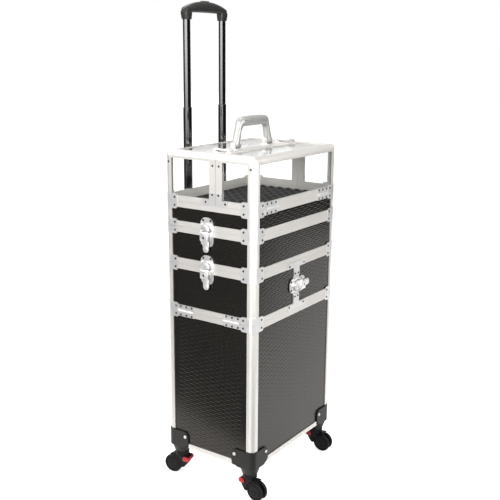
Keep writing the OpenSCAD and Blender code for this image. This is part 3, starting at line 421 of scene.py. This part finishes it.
# ---------------------------------------------------------------------------
# Fittings: pressed and plated steel. Corner brackets wrap each joint, leaves
# of the hinges and T-plates tie the strips, and drive rivets hold them all.
plated = finish("plated_steel", (0.66, 0.65, 0.64), (0.78, 0.775, 0.77), 45, (0.36, 0.50),
                380, 0.00004, Metallic=1.0)
give(plated, "bin_fittings", "wing_fittings_left", "wing_fittings_right", "middle_fittings",
     "top_tray_fittings", "lid_front_fittings", "lid_back_fittings")
rivet_steel = finish("rivet_steel", (0.76, 0.755, 0.75), (0.86, 0.855, 0.85), 200, (0.22, 0.34),
                     900, 0.00001, Metallic=1.0)
# The drive holes of the rivets take a near-black colour: painted shade in the hollow, darker than its
# shallow recess would cast.
rivet_drive = finish("rivet_drive", (0.015, 0.014, 0.013), (0.03, 0.028, 0.026), 200, (0.5, 0.7),
                     900, 0.00001)

tree, put = pattern("rivets", Radius="Float", Rise="Float",
                    Head="Material", Drive="Material")
shank = add(tree, "GeometryNodeMeshCylinder", {"Vertices": 14, "Radius": put["Radius"],
            "Depth": times(put["Rise"], 0.8)}, fill_type="NGON")
dome = add(tree, "GeometryNodeExtrudeMesh", {"Mesh": shank.outputs["Mesh"],
           "Selection": shank.outputs["Top"], "Offset Scale": times(put["Rise"], 0.45),
           "Individual": False})
dome_in = add(tree, "GeometryNodeScaleElements", {"Geometry": dome.outputs["Mesh"],
              "Selection": dome.outputs["Top"], "Scale": 0.80})
crown = add(tree, "GeometryNodeExtrudeMesh", {"Mesh": dome_in.outputs[0], "Selection": dome.outputs["Top"],
            "Offset Scale": times(put["Rise"], 0.15), "Individual": False})
crown_in = add(tree, "GeometryNodeScaleElements", {"Geometry": crown.outputs["Mesh"],
               "Selection": crown.outputs["Top"], "Scale": 0.52})
drive = add(tree, "GeometryNodeExtrudeMesh", {"Mesh": crown_in.outputs[0],
            "Selection": crown.outputs["Top"], "Offset Scale": times(put["Rise"], -0.6),
            "Individual": False})
steel = add(tree, "GeometryNodeSetMaterial", {"Geometry": drive.outputs["Mesh"], "Material": put["Head"]})
# The hole's floor and wall take the near-black painted shade.
inner = add(tree, "FunctionNodeBooleanMath", {0: drive.outputs["Top"], 1: drive.outputs["Side"]},
            operation="OR")
dark = add(tree, "GeometryNodeSetMaterial", {"Geometry": steel.outputs[0], "Selection": inner.outputs[0],
           "Material": put["Drive"]})
outward = add(tree, "GeometryNodeInputNamedAttribute", {"Name": "outward"}, data_type="FLOAT_VECTOR")
turned = add(tree, "FunctionNodeAlignRotationToVector", {"Vector": outward.outputs[0]}, axis="Z")
heads = add(tree, "GeometryNodeInstanceOnPoints", {"Points": put["Geometry"], "Instance": dark.outputs[0],
            "Rotation": turned.outputs[0]})
real = add(tree, "GeometryNodeRealizeInstances", {0: heads.outputs[0]})
tree.links.new(real.outputs[0], tree.nodes.new("NodeGroupOutput").inputs[0])


def rivets(name, body, places, radius=0.0026, rise=0.0011, head=None):
    """One rivet at each (point, direction outwards)."""
    points = bpy.data.meshes.new(name)
    points.from_pydata([at for at, _ in places], [], [])
    outward = points.attributes.new("outward", "FLOAT_VECTOR", "POINT")
    for one, (_, out) in zip(outward.data, places):
        one.vector = out
    # Unless one material is given for the whole rivet, its drive hole gets painted shade.
    top, hole_shade = (head, head) if head else (rivet_steel, rivet_drive)
    mesh = grown(tree, points, Radius=radius, Rise=rise, Head=top, Drive=hole_shade)
    return piece(name, [mesh], [head] if head else [rivet_steel, rivet_drive], body, 50)


def on(side, along, height, proud=0.0):
    """A point on a face and the way out of it."""
    place = face(side)
    return place @ Vector((along, proud, height)), place.to_3x3() @ Vector((0, 1, 0))


PLATE = 0.0012
BIN_TOP, WING_TOP, MIDDLE_TOP, TRAY_TOP, LID_TOP = 0.433, 0.547, 0.634, 0.692, 0.807
ALL_CORNERS = ((-1, -1), (1, -1), (-1, 1), (1, 1))
LEFT_HALF, RIGHT_HALF = ((-1, -1), (-1, 1)), ((1, -1), (1, 1))


def at_corners(corners, inset, height, proud):
    """A point on both faces of each corner, this far in from the corner's edge."""
    made = []
    for x, y in corners:
        sides = ("right" if x > 0 else "left", "back" if y > 0 else "front")
        for side, turn in zip(sides, (y if x < 0 else -y, x if y > 0 else -x)):
            half = HALF_DEPTH if side in ("left", "right") else HALF_WIDTH
            made.append(on(side, turn * (half - inset), height, proud))
    return made


def bracket_rivets(seam, way, corners=ALL_CORNERS):
    """A corner bracket has one rivet in each wing, above (1) or below (-1) its seam."""
    return at_corners(corners, 0.0285, seam + way * 0.0092, PLATE)


def hinge_rivets(sides, places, width, seam, way):
    """A hinge leaf has three rivets in a row, above (1) or below (-1) its seam."""
    return [on(side, at + step * width * 0.36, seam + way * 0.0103, PLATE)
            for side in sides for at in places for step in (-1, 0, 1)]


SIDE_HINGES, SIDE_LEAF = (-0.066, 0.066), 0.045
LID_HINGES, LID_LEAF = (-0.112, 0.112), 0.048
rivets("bin_rivets", "bin", bracket_rivets(BIN_TOP, -1)
       + hinge_rivets(("left", "right"), SIDE_HINGES, SIDE_LEAF, BIN_TOP, -1))
for wing, side, corners, sign in (("wing_left", "left", LEFT_HALF, -1),
                                  ("wing_right", "right", RIGHT_HALF, 1)):
    plates = [on(where, sign * (1 if where == "back" else -1) * along, height, PLATE)
              for where in ("front", "back")
              for along, height in ((0.0315, BIN_TOP + 0.0075), (0.0315, WING_TOP - 0.0075),
                                    (0.0065, BIN_TOP + 0.029), (0.0065, WING_TOP - 0.029))]
    rivets(wing + "_rivets", wing,
           bracket_rivets(BIN_TOP, 1, corners) + bracket_rivets(WING_TOP, -1, corners)
           + hinge_rivets((side,), SIDE_HINGES, SIDE_LEAF, BIN_TOP, 1) + plates)
rivets("middle_rivets", "middle_case", bracket_rivets(WING_TOP, 1) + bracket_rivets(MIDDLE_TOP, -1))
rivets("tray_rivets", "top_tray", bracket_rivets(MIDDLE_TOP, 1) + bracket_rivets(TRAY_TOP, -1)
       + hinge_rivets(("front", "back"), LID_HINGES, LID_LEAF, TRAY_TOP, -1))
SPLIT = -0.020
for lid, corners, sign in (("lid_front", ((-1, -1), (1, -1)), -1), ("lid_back", ((-1, 1), (1, 1)), 1)):
    plates = []
    for side, turn in (("left", 1), ("right", -1)):
        for along, height, proud in ((0.027, TRAY_TOP + 0.0075, PLATE), (0.0085, TRAY_TOP + 0.025, PLATE),
                                     (0.0085, LID_TOP - 0.026, 0)):
            plates.append(on(side, turn * (SPLIT + sign * along), height, proud))
        plates.append(on(side, turn * sign * (HALF_DEPTH - 0.0115), LID_TOP - 0.026, 0))
    rivets(lid + "_rivets", lid, bracket_rivets(TRAY_TOP, 1, corners) + plates
           + hinge_rivets(("front" if sign < 0 else "back",), LID_HINGES, LID_LEAF, TRAY_TOP, 1))

# ---------------------------------------------------------------------------
# Corner guards: black moulded plastic, each pressed over a bottom corner and
# held by one rivet through each of its two wings.
guard_black = finish("guard_plastic", (0.013, 0.0122, 0.0112), (0.021, 0.020, 0.018), 25, (0.34, 0.52),
                     1600, 0.00012, IOR=1.33)
give(guard_black, "corner_guards")
GUARD_THICK = 0.002
rivet_bright = finish("rivet_bright", (0.70, 0.69, 0.67), (0.80, 0.79, 0.77), 200, (0.40, 0.55),
                      900, 0.00001, Metallic=0.2)
rivets("guard_rivets", "bin", at_corners(ALL_CORNERS, 0.0515, 0.1115, GUARD_THICK), 0.0042, 0.0022,
       rivet_bright)

# ---------------------------------------------------------------------------
# Casters: a moulded swivel head with a hood over twin wheels on one axle, and
# a red bow round its back that is pressed down to lock them.
CASTERS = {"fl": (-1, -1, -95), "fr": (1, -1, -88), "bl": (-1, 1, 100), "br": (1, 1, 140)}
STEM_IN_X, STEM_IN_Y, TRAIL, WHEEL_R = 0.022, 0.023, 0.022, 0.023
caster_black = finish("caster_plastic", (0.008, 0.0076, 0.0072), (0.013, 0.0124, 0.0118), 60, (0.30, 0.46),
                      1800, 0.00006, IOR=1.22)
tread_black = finish("tread_rubber", (0.008, 0.008, 0.0078), (0.012, 0.012, 0.0116), 90, (0.50, 0.70),
                     2400, 0.00010, IOR=1.22)
pedal_red = finish("pedal_red", (0.46, 0.012, 0.024), (0.58, 0.022, 0.036), 70, (0.24, 0.38),
                   1800, 0.00004)
UPRIGHT = Matrix.Rotation(math.radians(90), 4, "X")


def settled(made, place=Matrix.Identity(4), ink=None):
    """Ends a bmesh: normals outwards, put in place, as a plain mesh."""
    bmesh.ops.recalc_face_normals(made, faces=made.faces)
    if ink is not None:
        for one in made.faces:
            one.material_index = ink
    bmesh.ops.transform(made, matrix=place, verts=made.verts)
    mesh = bpy.data.meshes.new("shape")
    made.to_mesh(mesh)
    made.free()
    return mesh


def lathed(profile, around=40, place=Matrix.Identity(4), inks=None):
    """A closed turned shape: a profile of (radius, height) from axis to axis."""
    made = bmesh.new()
    rings = []
    for radius, height in profile:
        turns = [0] if radius < 1e-6 else [2 * math.pi * i / around for i in range(around)]
        rings.append([made.verts.new((radius * math.cos(a), radius * math.sin(a), height))
                      for a in turns])
    for row, (low, high) in enumerate(zip(rings, rings[1:])):
        for i in range(around):
            j = i + 1
            corners = [low[i % len(low)], low[j % len(low)], high[j % len(high)], high[i % len(high)]]
            made.faces.new(list(dict.fromkeys(corners))).material_index = inks[row] if inks else 0
    return settled(made, place)


def slab(outline, thickness, ease=0.0008, place=Matrix.Identity(4), steps=2, ink=0):
    """A plate cut to an outline in its own XY, standing on z = 0, with eased edges."""
    made = bmesh.new()
    low = [made.verts.new((x, y, 0)) for x, y in outline]
    high = [made.verts.new((x, y, thickness)) for x, y in outline]
    made.faces.new(list(reversed(low)))
    made.faces.new(high)
    for i in range(len(outline)):
        j = (i + 1) % len(outline)
        made.faces.new((low[i], low[j], high[j], high[i]))
    bmesh.ops.recalc_face_normals(made, faces=made.faces)
    rims = [e for e in made.edges if abs(e.verts[0].co.z - e.verts[1].co.z) < 1e-9]
    corners = [e for e in made.edges if e not in rims and abs(e.calc_face_angle(0)) > math.radians(35)]
    bmesh.ops.bevel(made, geom=rims + corners, offset=ease, segments=steps, affect="EDGES",
                    profile=0.5, clamp_overlap=True)
    return settled(made, place, ink)


def arc(centre, radius, start, end, steps):
    """Points along an arc, from one angle to another in degrees."""
    return [(centre[0] + radius * math.cos(math.radians(start + (end - start) * i / steps)),
             centre[1] + radius * math.sin(math.radians(start + (end - start) * i / steps)))
            for i in range(steps + 1)]


HUB = (TRAIL, WHEEL_R)
for corner, (x, y, turn) in CASTERS.items():
    stem = (Matrix.Translation((x * (HALF_WIDTH - STEM_IN_X), MIDDLE_Y + y * (HALF_DEPTH - STEM_IN_Y), 0))
            @ Matrix.Rotation(math.radians(turn), 4, "Z"))
    head = lathed([(0, 0.0645), (0.0128, 0.0645), (0.0152, 0.0638), (0.0166, 0.0620), (0.0171, 0.0590),
                   (0.0171, 0.0560), (0.0161, 0.0552), (0.0161, 0.0544), (0.0170, 0.0536), (0.0167, 0.0508),
                   (0.0150, 0.0498), (0, 0.0498)])
    back = [(-0.0130, 0.0515), (-0.0180, 0.0495), (-0.0200, 0.0460), (-0.0195, 0.0370), (-0.0172, 0.0305),
            (-0.0136, 0.0250), (-0.0080, 0.0180)]
    hood = slab(back + arc(HUB, 0.0239, 192, 80, 14) + arc(HUB, 0.0266, 80, 110, 4) + [(0.0130, 0.0515)],
                0.0218, 0.0010, Matrix.Translation((0, 0.0109, 0)) @ UPRIGHT, 3)
    web = slab([(-0.0110, 0.0510), (0.0130, 0.0200), (0.0220, 0.0145), (0.0305, 0.0195),
                (0.0305, 0.0365), (0.0160, 0.0510)], 0.0070, 0.0008,
               Matrix.Translation((0, 0.0035, 0)) @ UPRIGHT)
    spine = slab(arc(HUB, 0.0272, 185, 112, 10) + arc(HUB, 0.0262, 112, 185, 10), 0.0050, 0.0003,
                 Matrix.Translation((0, 0.0025, 0)) @ UPRIGHT, 1)
    made = [head, hood, web, spine]
    for mesh in made:
        mesh.transform(stem)
    made = piece("caster_head_" + corner, made, caster_black, "caster_" + corner, 35)
    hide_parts("caster_body_" + corner)

    axle = stem @ Matrix.Translation((TRAIL, 0, WHEEL_R))
    wheels = [lathed([(0, 0.0108), (0.0028, 0.0108), (0.0028, -0.0108), (0, -0.0108)], 20, axle @ UPRIGHT)]
    for side in (-1, 1):
        wheels.append(lathed(
            [(0, 0.0036), (0.0024, 0.0036), (0.0031, 0.0030), (0.0033, 0.0020), (0.0055, 0.0018),
             (0.0077, 0.0022), (0.0085, 0.0032), (0.0146, 0.0035), (0.0156, 0.0030), (0.0160, 0.0018),
             (0.0167, 0.0018), (0.0173, 0.0034), (0.0198, 0.0038), (0.0217, 0.0030), (0.0227, 0.0018),
             (0.0230, 0.0000), (0.0226, -0.0020), (0.0215, -0.0034), (0.0193, -0.0039), (0, -0.0039)],
            48, axle @ Matrix.Translation((0, side * 0.0081, 0))
            @ Matrix.Rotation(math.radians(-90 * side), 4, "X"), [0] * 10 + [1] * 8 + [0]))
    made = piece("wheel_pair_" + corner, wheels, [caster_black, tread_black], "wheels_" + corner,
                 30)
    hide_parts("caster_wheels_" + corner)

    side_view = [(-0.0238, 0.0388), (-0.0238, 0.0452), (-0.0210, 0.0479), (-0.0102, 0.0479),
                 (-0.0072, 0.0458), (-0.0072, 0.0390), (-0.0102, 0.0362), (-0.0200, 0.0362)]
    bow = [slab(side_view, 0.0029, 0.0008, Matrix.Translation((0, s * 0.0129 + 0.00145, 0)) @ UPRIGHT)
           for s in (-1, 1)]
    bow.append(slab([(-0.0238, 0.0388), (-0.0238, 0.0452), (-0.0212, 0.0478), (-0.0208, 0.0364)], 0.0280,
                    0.0007, Matrix.Translation((0, 0.0140, 0)) @ UPRIGHT))
    for s in (-1, 1):
        for at in (-0.0195, -0.0165, -0.0135, -0.0105):
            bow.append(slab([(at, 0.0385), (at + 0.0013, 0.0385), (at + 0.0013, 0.0458), (at, 0.0458)],
                            0.0006, 0.0002, Matrix.Translation((0, s * 0.0145 + 0.0003, 0)) @ UPRIGHT, 1))
    for at in (-0.0085, -0.0040, 0.0005, 0.0050):
        bow.append(slab([(at, 0.0405), (at + 0.0022, 0.0405), (at + 0.0022, 0.0445), (at, 0.0445)], 0.0006,
                        0.0002, Matrix.Translation((-0.0236, 0, 0))
                        @ Matrix.Rotation(math.radians(-90), 4, "Z") @ UPRIGHT, 1))
    for mesh in bow:
        mesh.transform(stem)
    made = piece("brake_bow_" + corner, bow, pedal_red, "brake_" + corner, 35)
    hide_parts("brake_lever_" + corner)

# ---------------------------------------------------------------------------
# Trolley: three stages of black enamelled steel tube slide out of the fixed
# pair, which two moulded clamps hold to the back. A moulded grip ties them.
enamel = finish("black_enamel", (0.006, 0.006, 0.006), (0.010, 0.010, 0.010), 20, (0.10, 0.14),
                200, 0.0000005, IOR=1.65)
give(guard_black, "trolley_clamps")
button_grey = finish("button_plastic", (0.10, 0.10, 0.10), (0.13, 0.13, 0.13), 60, (0.4, 0.55),
                     1800, 0.00006)
give(button_grey, "trolley_button")
grip_black = finish("grip_plastic", (0.016, 0.015, 0.014), (0.024, 0.023, 0.021), 40, (0.30, 0.44),
                    1500, 0.00010, IOR=1.4)


def swept(stations, sides=24, power=2.6):
    """A solid through rounded sections, each a centre and two half-width vectors."""
    made = bmesh.new()
    rings = []
    for centre, wide, deep in stations:
        ring = []
        for i in range(sides):
            c, s = math.cos(2 * math.pi * i / sides), math.sin(2 * math.pi * i / sides)
            ring.append(made.verts.new(Vector(centre)
                                       + Vector(wide) * math.copysign(abs(c) ** (2 / power), c)
                                       + Vector(deep) * math.copysign(abs(s) ** (2 / power), s)))
        rings.append(ring)
    for low, high in zip(rings, rings[1:]):
        for i in range(sides):
            made.faces.new((low[i], low[(i + 1) % sides], high[(i + 1) % sides], high[i]))
    made.faces.new(rings[0])
    made.faces.new(list(reversed(rings[-1])))
    return settled(made)


POLE_X, POLE_Y = 0.0684, MIDDLE_Y + 0.143
GRIP_TOP, GRIP_LOW = 1.137, 1.110
TUBE_WALL, TUBE_EASE, TUBE_ROUND = 0.0012, 0.0005, 0.77


def tube(x, low, high, wide, deep):
    """An upright tube of rounded section, open at both ends, with eased rims."""
    made = bmesh.new()
    section = []
    for i in range(40):
        c, s = math.cos(2 * math.pi * i / 40), math.sin(2 * math.pi * i / 40)
        section.append((math.copysign(abs(c) ** TUBE_ROUND, c), math.copysign(abs(s) ** TUBE_ROUND, s)))
    rings = []
    for z, inset in ((low + TUBE_EASE, 0), (high - TUBE_EASE, 0), (high, TUBE_EASE), (high, TUBE_WALL),
                     (low, TUBE_WALL), (low, TUBE_EASE)):
        rings.append([made.verts.new((x + (wide - inset) * across, POLE_Y + (deep - inset) * out, z))
                      for across, out in section])
    for near, far in zip(rings, rings[1:] + rings[:1]):
        for i in range(len(near)):
            j = (i + 1) % len(near)
            made.faces.new((near[i], near[j], far[j], far[i]))
    return settled(made)


for name, body in (("outer", "bin"), ("lower", "trolley_lower"), ("middle", "trolley_middle"),
                   ("upper", "trolley_upper")):
    (_, near_y, low), (far_x, far_y, high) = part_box("trolley_" + name + "_tubes")
    tubes = [tube(side * POLE_X, low, high, far_x - POLE_X, (far_y - near_y) / 2) for side in (-1, 1)]
    made = piece("trolley_tubes_" + name, tubes, enamel, body, 40)
    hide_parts("trolley_" + name + "_tubes")

bar = []
for step in range(41):
    t = -1 + step / 20
    top = GRIP_TOP - 0.0165 * abs(t) ** 2.2
    low = GRIP_LOW + 0.0015 * (1 - t * t)
    squeeze = math.sqrt(max(0.0, 1 - max(0.0, (abs(t) - 0.90) / 0.101) ** 2.4))
    bar.append(((0.0805 * t, POLE_Y, (top + low) / 2), (0, 0.009 * (0.45 + 0.55 * squeeze), 0),
                (0, 0, (top - low) / 2 * (0.25 + 0.75 * squeeze))))
grip = [swept(bar, 28, 3.2)]
for side in (-1, 1):
    sleeve = [((side * (POLE_X - (0.0135 - wide) * 0.4), POLE_Y, height), (wide, 0, 0), (0, deep, 0))
              for height, wide, deep in (
                  (1.0950, 0.0118, 0.0066), (1.0954, 0.0124, 0.0072), (1.1005, 0.0130, 0.0078),
                  (1.1060, 0.0138, 0.0083), (1.1120, 0.0142, 0.0086), (1.1160, 0.0120, 0.0080))]
    grip.append(swept(sleeve, 28, 4.5))
made = piece("trolley_handgrip", grip, grip_black, "trolley_upper", 35)
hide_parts("trolley_grip")

# ---------------------------------------------------------------------------
# Inner trays: two moulded trays swing out over the bin on flat steel arms
# and links, which turn on studs in its ends.
tray_grey = finish("tray_plastic", (0.030, 0.029, 0.028), (0.042, 0.041, 0.039), 30, (0.38, 0.55),
                   1400, 0.00010)
give(tray_grey, "inner_tray_left", "inner_tray_right")
arm_steel = finish("arm_steel", (0.48, 0.48, 0.48), (0.56, 0.56, 0.56), 40, (0.30, 0.42),
                   600, 0.00003, Metallic=1.0)
give(arm_steel, "tray_arms_left", "tray_arms_right", "tray_links_left", "tray_links_right")

# ---------------------------------------------------------------------------
# Draw latches: a pressed base plate below the seam, a keeper above it, and
# between them a swinging lock with a key barrel and a rounded pull.
latch_chrome = finish("latch_chrome", (0.76, 0.755, 0.745), (0.86, 0.855, 0.85), 60, (0.34, 0.46),
                      500, 0.00003, Metallic=1.0)
key_dark = finish("key_barrel", (0.10, 0.10, 0.10), (0.14, 0.14, 0.14), 200, (0.35, 0.5), 900, 0.00002,
                  Metallic=1.0)


SIDEWAYS = Matrix(((0, 0, 1, 0), (1, 0, 0, 0), (0, 1, 0, 0), (0, 0, 0, 1)))
LEVER_WIDE = 0.0218
RIBS = ((0.0164, 7.0), (0.0134, 4.0))


def ridge(side, top, bottom, middle, curl):
    """A raised curved rib of the plate, from one height to another beside the lock."""
    stations = []
    for step in range(15):
        height = top + (bottom - top) * step / 14
        end = math.sin(math.pi * (0.06 + 0.88 * step / 14)) ** 0.5
        stations.append(((side * (middle - curl * (height + 0.008) ** 2), 0.0010 + 0.0022 * end, height),
                         (0.0009, 0, 0), (0, 0.0024 * end, 0)))
    return swept(stations, 10, 2.4)


def latch(name, place, keeper_body, base_body, lever_body, node):
    """The visible parts of one latch; its place has the seam at z = 0 and y outwards."""
    keeper = [ridge(s, 0.0165, 0.0008, middle, curl) for s in (-1, 1) for middle, curl in RIBS]
    keeper.append(slab([(-0.0106, 0.0006), (0.0106, 0.0006)] + arc((0.0, 0.0036), 0.0106, 0, 180, 12),
                       0.0012, 0.0005, Matrix.Translation((0, 0.0082, 0.0)) @ UPRIGHT))
    base = [ridge(s, -0.0008, -0.0335, middle, curl) for s in (-1, 1) for middle, curl in RIBS]
    side_view = [(0.0026, -0.0012), (0.0062, -0.0008), (0.0104, -0.0010), (0.0130, -0.0032),
                 (0.0135, -0.0062), (0.0135, -0.0206), (0.0124, -0.0228), (0.0060, -0.0230),
                 (0.0026, -0.0230)]
    lever = [slab(side_view, LEVER_WIDE, 0.0010, Matrix.Translation((-LEVER_WIDE / 2, 0, 0)) @ SIDEWAYS, 3),
             slab([(0.0080, -0.0190), (-0.0080, -0.0190)] + arc((0, -0.0418), 0.0080, 180, 360, 16),
                  0.0036, 0.0008, Matrix.Translation((0, 0.0062, 0)) @ UPRIGHT, 3),
             slab(arc((0, -0.0410), 0.0058, 0, 360, 19)[:-1], 0.0006, 0.0003,
                  Matrix.Translation((0, 0.0067, 0)) @ UPRIGHT),
             lathed([(0, 0.0006), (0.0026, 0.0006), (0.0030, 0.0010), (0.0036, 0.0010), (0.0040, 0.0004),
                     (0.0040, -0.0008), (0, -0.0008)], 24,
                    Matrix.Translation((0, 0.0135, -0.0140)) @ Matrix.Rotation(math.radians(-90), 4, "X"),
                    [1, 1, 0, 0, 0, 0])]
    for mesh in keeper + base + lever:
        mesh.transform(place)
    piece(name + "_keeper_ribs", keeper, latch_chrome, keeper_body, 35)
    piece(name + "_base_ribs", base, latch_chrome, base_body, 35)
    made = piece(name + "_lock", lever, [latch_chrome, key_dark], lever_body, 35)
    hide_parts(node)
    rivets_at = [(place @ Vector((s * 0.0104, PLATE, 0.0235)), place.to_3x3() @ Vector((0, 1, 0)))
                 for s in (-1, 1)]
    rivets(name + "_rivets", keeper_body, rivets_at, 0.0028, 0.0012)


for side, along in (("left", 0.004), ("right", -0.004)):
    latch("latch_middle_" + side, face(side) @ Matrix.Translation((along, 0, MIDDLE_TOP)),
          "top_tray", "middle_case", "lock_middle_" + side, "lock_middle_" + side)
    latch("latch_wing_" + side, face(side) @ Matrix.Translation((along, 0, WING_TOP)),
          "middle_case", "wing_" + side, "lock_wing_" + side, "lock_wing_" + side)
latch("latch_front", face("front") @ Matrix.Translation((0, 0, 0.490))
      @ Matrix.Rotation(math.radians(90), 4, "Y"), "wing_left", "wing_right", "lock_front", "lock_front")

# ---------------------------------------------------------------------------
# Foam pad: soft black egg-crate foam, cut out round the corner posts and laid
# in the top tray, where brushes are pushed in and stand.
foam_black = finish("foam_black", (0.014, 0.0135, 0.013), (0.024, 0.023, 0.022), 120, (0.85, 1.0),
                    2600, 0.0004, IOR=1.2, Sheen_Weight=0.15, Sheen_Roughness=0.6)
FOAM_LOW, FOAM_PITCH = 0.6402, 0.0258

tree, put = pattern("egg_crate", Length="Float", Width="Float", Base="Float", Height="Float",
                    Pitch="Float", Notch="Float", Material="Material")
CELL = 0.0026
cells = [times(times(put[side], CELL, "DIVIDE"), 1, "ADD") for side in ("Length", "Width")]
cells = [add(tree, "FunctionNodeFloatToInt", {0: count}).outputs[0] for count in cells]
sheet = add(tree, "GeometryNodeMeshGrid", {"Size X": put["Length"], "Size Y": put["Width"],
            "Vertices X": cells[0], "Vertices Y": cells[1]})
spot = add(tree, "ShaderNodeSeparateXYZ", {0: add(tree, "GeometryNodeInputPosition").outputs[0]})
in_notch = [times(times(spot.outputs[axis], 0, "ABSOLUTE"),
                  times(times(put[side], 0.5), put["Notch"], "SUBTRACT"), "GREATER_THAN")
            for axis, side in ((0, "Length"), (1, "Width"))]
cut = add(tree, "GeometryNodeDeleteGeometry", {"Geometry": sheet.outputs[0],
          "Selection": times(in_notch[0], in_notch[1])})
cut.domain = "FACE"
block = add(tree, "GeometryNodeExtrudeMesh", {"Mesh": cut.outputs[0], "Offset Scale": put["Base"],
            "Individual": False})
waves = [times(times(times(spot.outputs[axis], put["Pitch"], "DIVIDE"), 2 * math.pi), 0, "COSINE")
         for axis in (0, 1)]
swell = times(times(times(waves[0], waves[1], "ADD"), 0.25), 0.5, "ADD")
shaped = add(tree, "GeometryNodeSetPosition", {"Geometry": block.outputs["Mesh"],
             "Selection": block.outputs["Top"],
             "Offset": add(tree, "ShaderNodeCombineXYZ", {"Z": times(swell, put["Height"])}).outputs[0]})
under = add(tree, "GeometryNodeFlipFaces", {0: cut.outputs[0]})
both = add(tree, "GeometryNodeJoinGeometry")
tree.links.new(under.outputs[0], both.inputs[0])
tree.links.new(shaped.outputs[0], both.inputs[0])
welded = add(tree, "GeometryNodeMergeByDistance", {"Geometry": both.outputs[0], "Distance": 0.0001})
close(tree, welded.outputs[0], put["Material"])
mesh = grown(tree, Length=0.335, Width=0.235, Base=0.0412, Height=0.0070, Pitch=FOAM_PITCH, Notch=0.0205,
             Material=foam_black)
mesh.transform(Matrix.Translation((0, MIDDLE_Y, FOAM_LOW)))
made = piece("egg_crate_foam", [mesh], foam_black, "top_tray", 180)
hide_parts("foam_pad")

# ---------------------------------------------------------------------------
# Clear lid: acrylic sheets slid into the slots of the lid's frame. They show
# what lies behind them face on, and shine where they are seen at a slant.
acrylic = finish("clear_acrylic", (0.94, 0.945, 0.94), (0.98, 0.985, 0.98), 6, (0.02, 0.05), 300, 0.000004,
                 Metallic=1.0)
tree = acrylic.node_tree
gleam = add(tree, "ShaderNodeLayerWeight", {"Blend": 0.22})
shine = add(tree, "ShaderNodeMapRange", {"Value": gleam.outputs["Facing"], "From Min": 0.24,
            "From Max": 0.50, "To Min": 0.015, "To Max": 0.62})
mixed = add(tree, "ShaderNodeMixShader", {0: shine.outputs[0],
            1: add(tree, "ShaderNodeBsdfTransparent", {"Color": (0.995, 1.0, 0.997, 1)}).outputs[0],
            2: tree.nodes["Principled BSDF"].outputs[0]})
tree.links.new(mixed.outputs[0], tree.nodes["Material Output"].inputs["Surface"])
give(acrylic, "lid_front_panels", "lid_back_panels")

# ---------------------------------------------------------------------------
# Lid catches: a pressed lever turns on the back half and its hooked end
# drops over a round keeper on the front half.
for side, name in ((-1, "left"), (1, "right")):
    place = Matrix.Translation((side * 0.128, MIDDLE_Y, LID_TOP))
    edge = [(0.0036, -0.0190), (0.0052, -0.0160), (0.0052, -0.0105), (0.0040, -0.0075), (0.0040, 0.0030),
            (0.0066, 0.0080), (0.0066, 0.0140)]
    outline = [(-x, y) for x, y in reversed(edge)] + edge
    lever = [slab(outline, 0.0032, 0.0009, place @ Matrix.Translation((0, 0, 0.0030)), 3),
             lathed([(0, 0.0066), (0.0022, 0.0066), (0.0029, 0.0060), (0.0029, -0.0060), (0.0022, -0.0066),
                     (0, -0.0066)], 20, place @ Matrix.Translation((0, 0.012, 0.0045))
                    @ Matrix.Rotation(math.radians(90), 4, "Y")),
             swept([((0, y, 0.0046), (half, 0, 0), (0, 0, high)) for y, half, high in (
                 (-0.0190, 0.0026, 0.0014), (-0.0184, 0.0042, 0.0024), (-0.0168, 0.0050, 0.0029),
                 (-0.0130, 0.0051, 0.0029), (-0.0106, 0.0044, 0.0024), (-0.0096, 0.0030, 0.0014))],
                   20, 3.0)]
    lever[2].transform(place)
    made = piece("lid_catch_lever_" + name, lever, latch_chrome, "lid_catch_" + name, 35)
    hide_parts("lid_catch_" + name)

# ---------------------------------------------------------------------------
# Carry handle: one metallic-grey moulding, splayed legs and a thick rounded
# pad, folding on two pinned feet on the back half of the lid.
handle_grey = finish("handle_grey", (0.47, 0.465, 0.445), (0.53, 0.525, 0.505), 30, (0.30, 0.42),
                     1200, 0.00004, Metallic=0.25)
HANDLE_Y, PIVOT_Z, HANDLE_TOP = MIDDLE_Y + 0.004, LID_TOP + 0.011, LID_TOP + 0.073
FOOT_X, LEG_DEEP = 0.0660, 0.0089
half = []
for height, width, deep in ((-0.0088, 0.0070, 0.0024), (-0.0074, 0.0082, 0.0056), (-0.0042, 0.0089, 0.0080),
                            (0.0, 0.0090, LEG_DEEP)):
    half.append(((FOOT_X, HANDLE_Y, PIVOT_Z + height), (width, 0, 0), (0, deep, 0)))
for step in range(1, 10):
    t = step / 9
    half.append(((FOOT_X - 0.0110 * t, HANDLE_Y, PIVOT_Z + 0.0430 * t),
                 (0.0090 - 0.0040 * t, 0, 0.0008 * t), (0, LEG_DEEP, 0)))
for step in range(1, 10):
    a = math.radians(10 * step)
    outer = Vector((0.0420 + 0.0180 * math.cos(a), 0, HANDLE_TOP - 0.0180 + 0.0164 * math.sin(a)))
    inner = Vector((0.0415 + 0.0085 * math.cos(a), 0, HANDLE_TOP - 0.0330 + 0.0095 * math.sin(a)))
    deep = LEG_DEEP + 0.0026 * math.sin(a) ** 2
    half.append(((outer + inner) / 2 + Vector((0, HANDLE_Y, 0)), (outer - inner) / 2, (0, deep, 0)))
half = [(Vector(c), Vector(w), Vector(d)) for c, w, d in half]
pad = []
PAD_HALF = 0.0405
for step in range(21):
    x = PAD_HALF * (1 - step / 10)
    t = x / PAD_HALF
    top, low = HANDLE_TOP - 0.0014 * t * t, HANDLE_TOP - 0.0240 + 0.0008 * t * t
    fat = 1.0 if abs(t) < 0.99 else 0.955
    pad.append((Vector((x, HANDLE_Y, (top + low) / 2)), Vector((0, 0, (top - low) / 2 * fat)),
                Vector((0, 0.0118 * fat, 0))))
flip = Matrix.Diagonal((-1, 1, 1))
whole = half + pad + [(flip @ c, flip @ w, d) for c, w, d in reversed(half)]
made = piece("carry_handle_moulding", [swept(whole, 32, 3.0)], handle_grey, "carry_handle",
             40)
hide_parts("carry_handle")
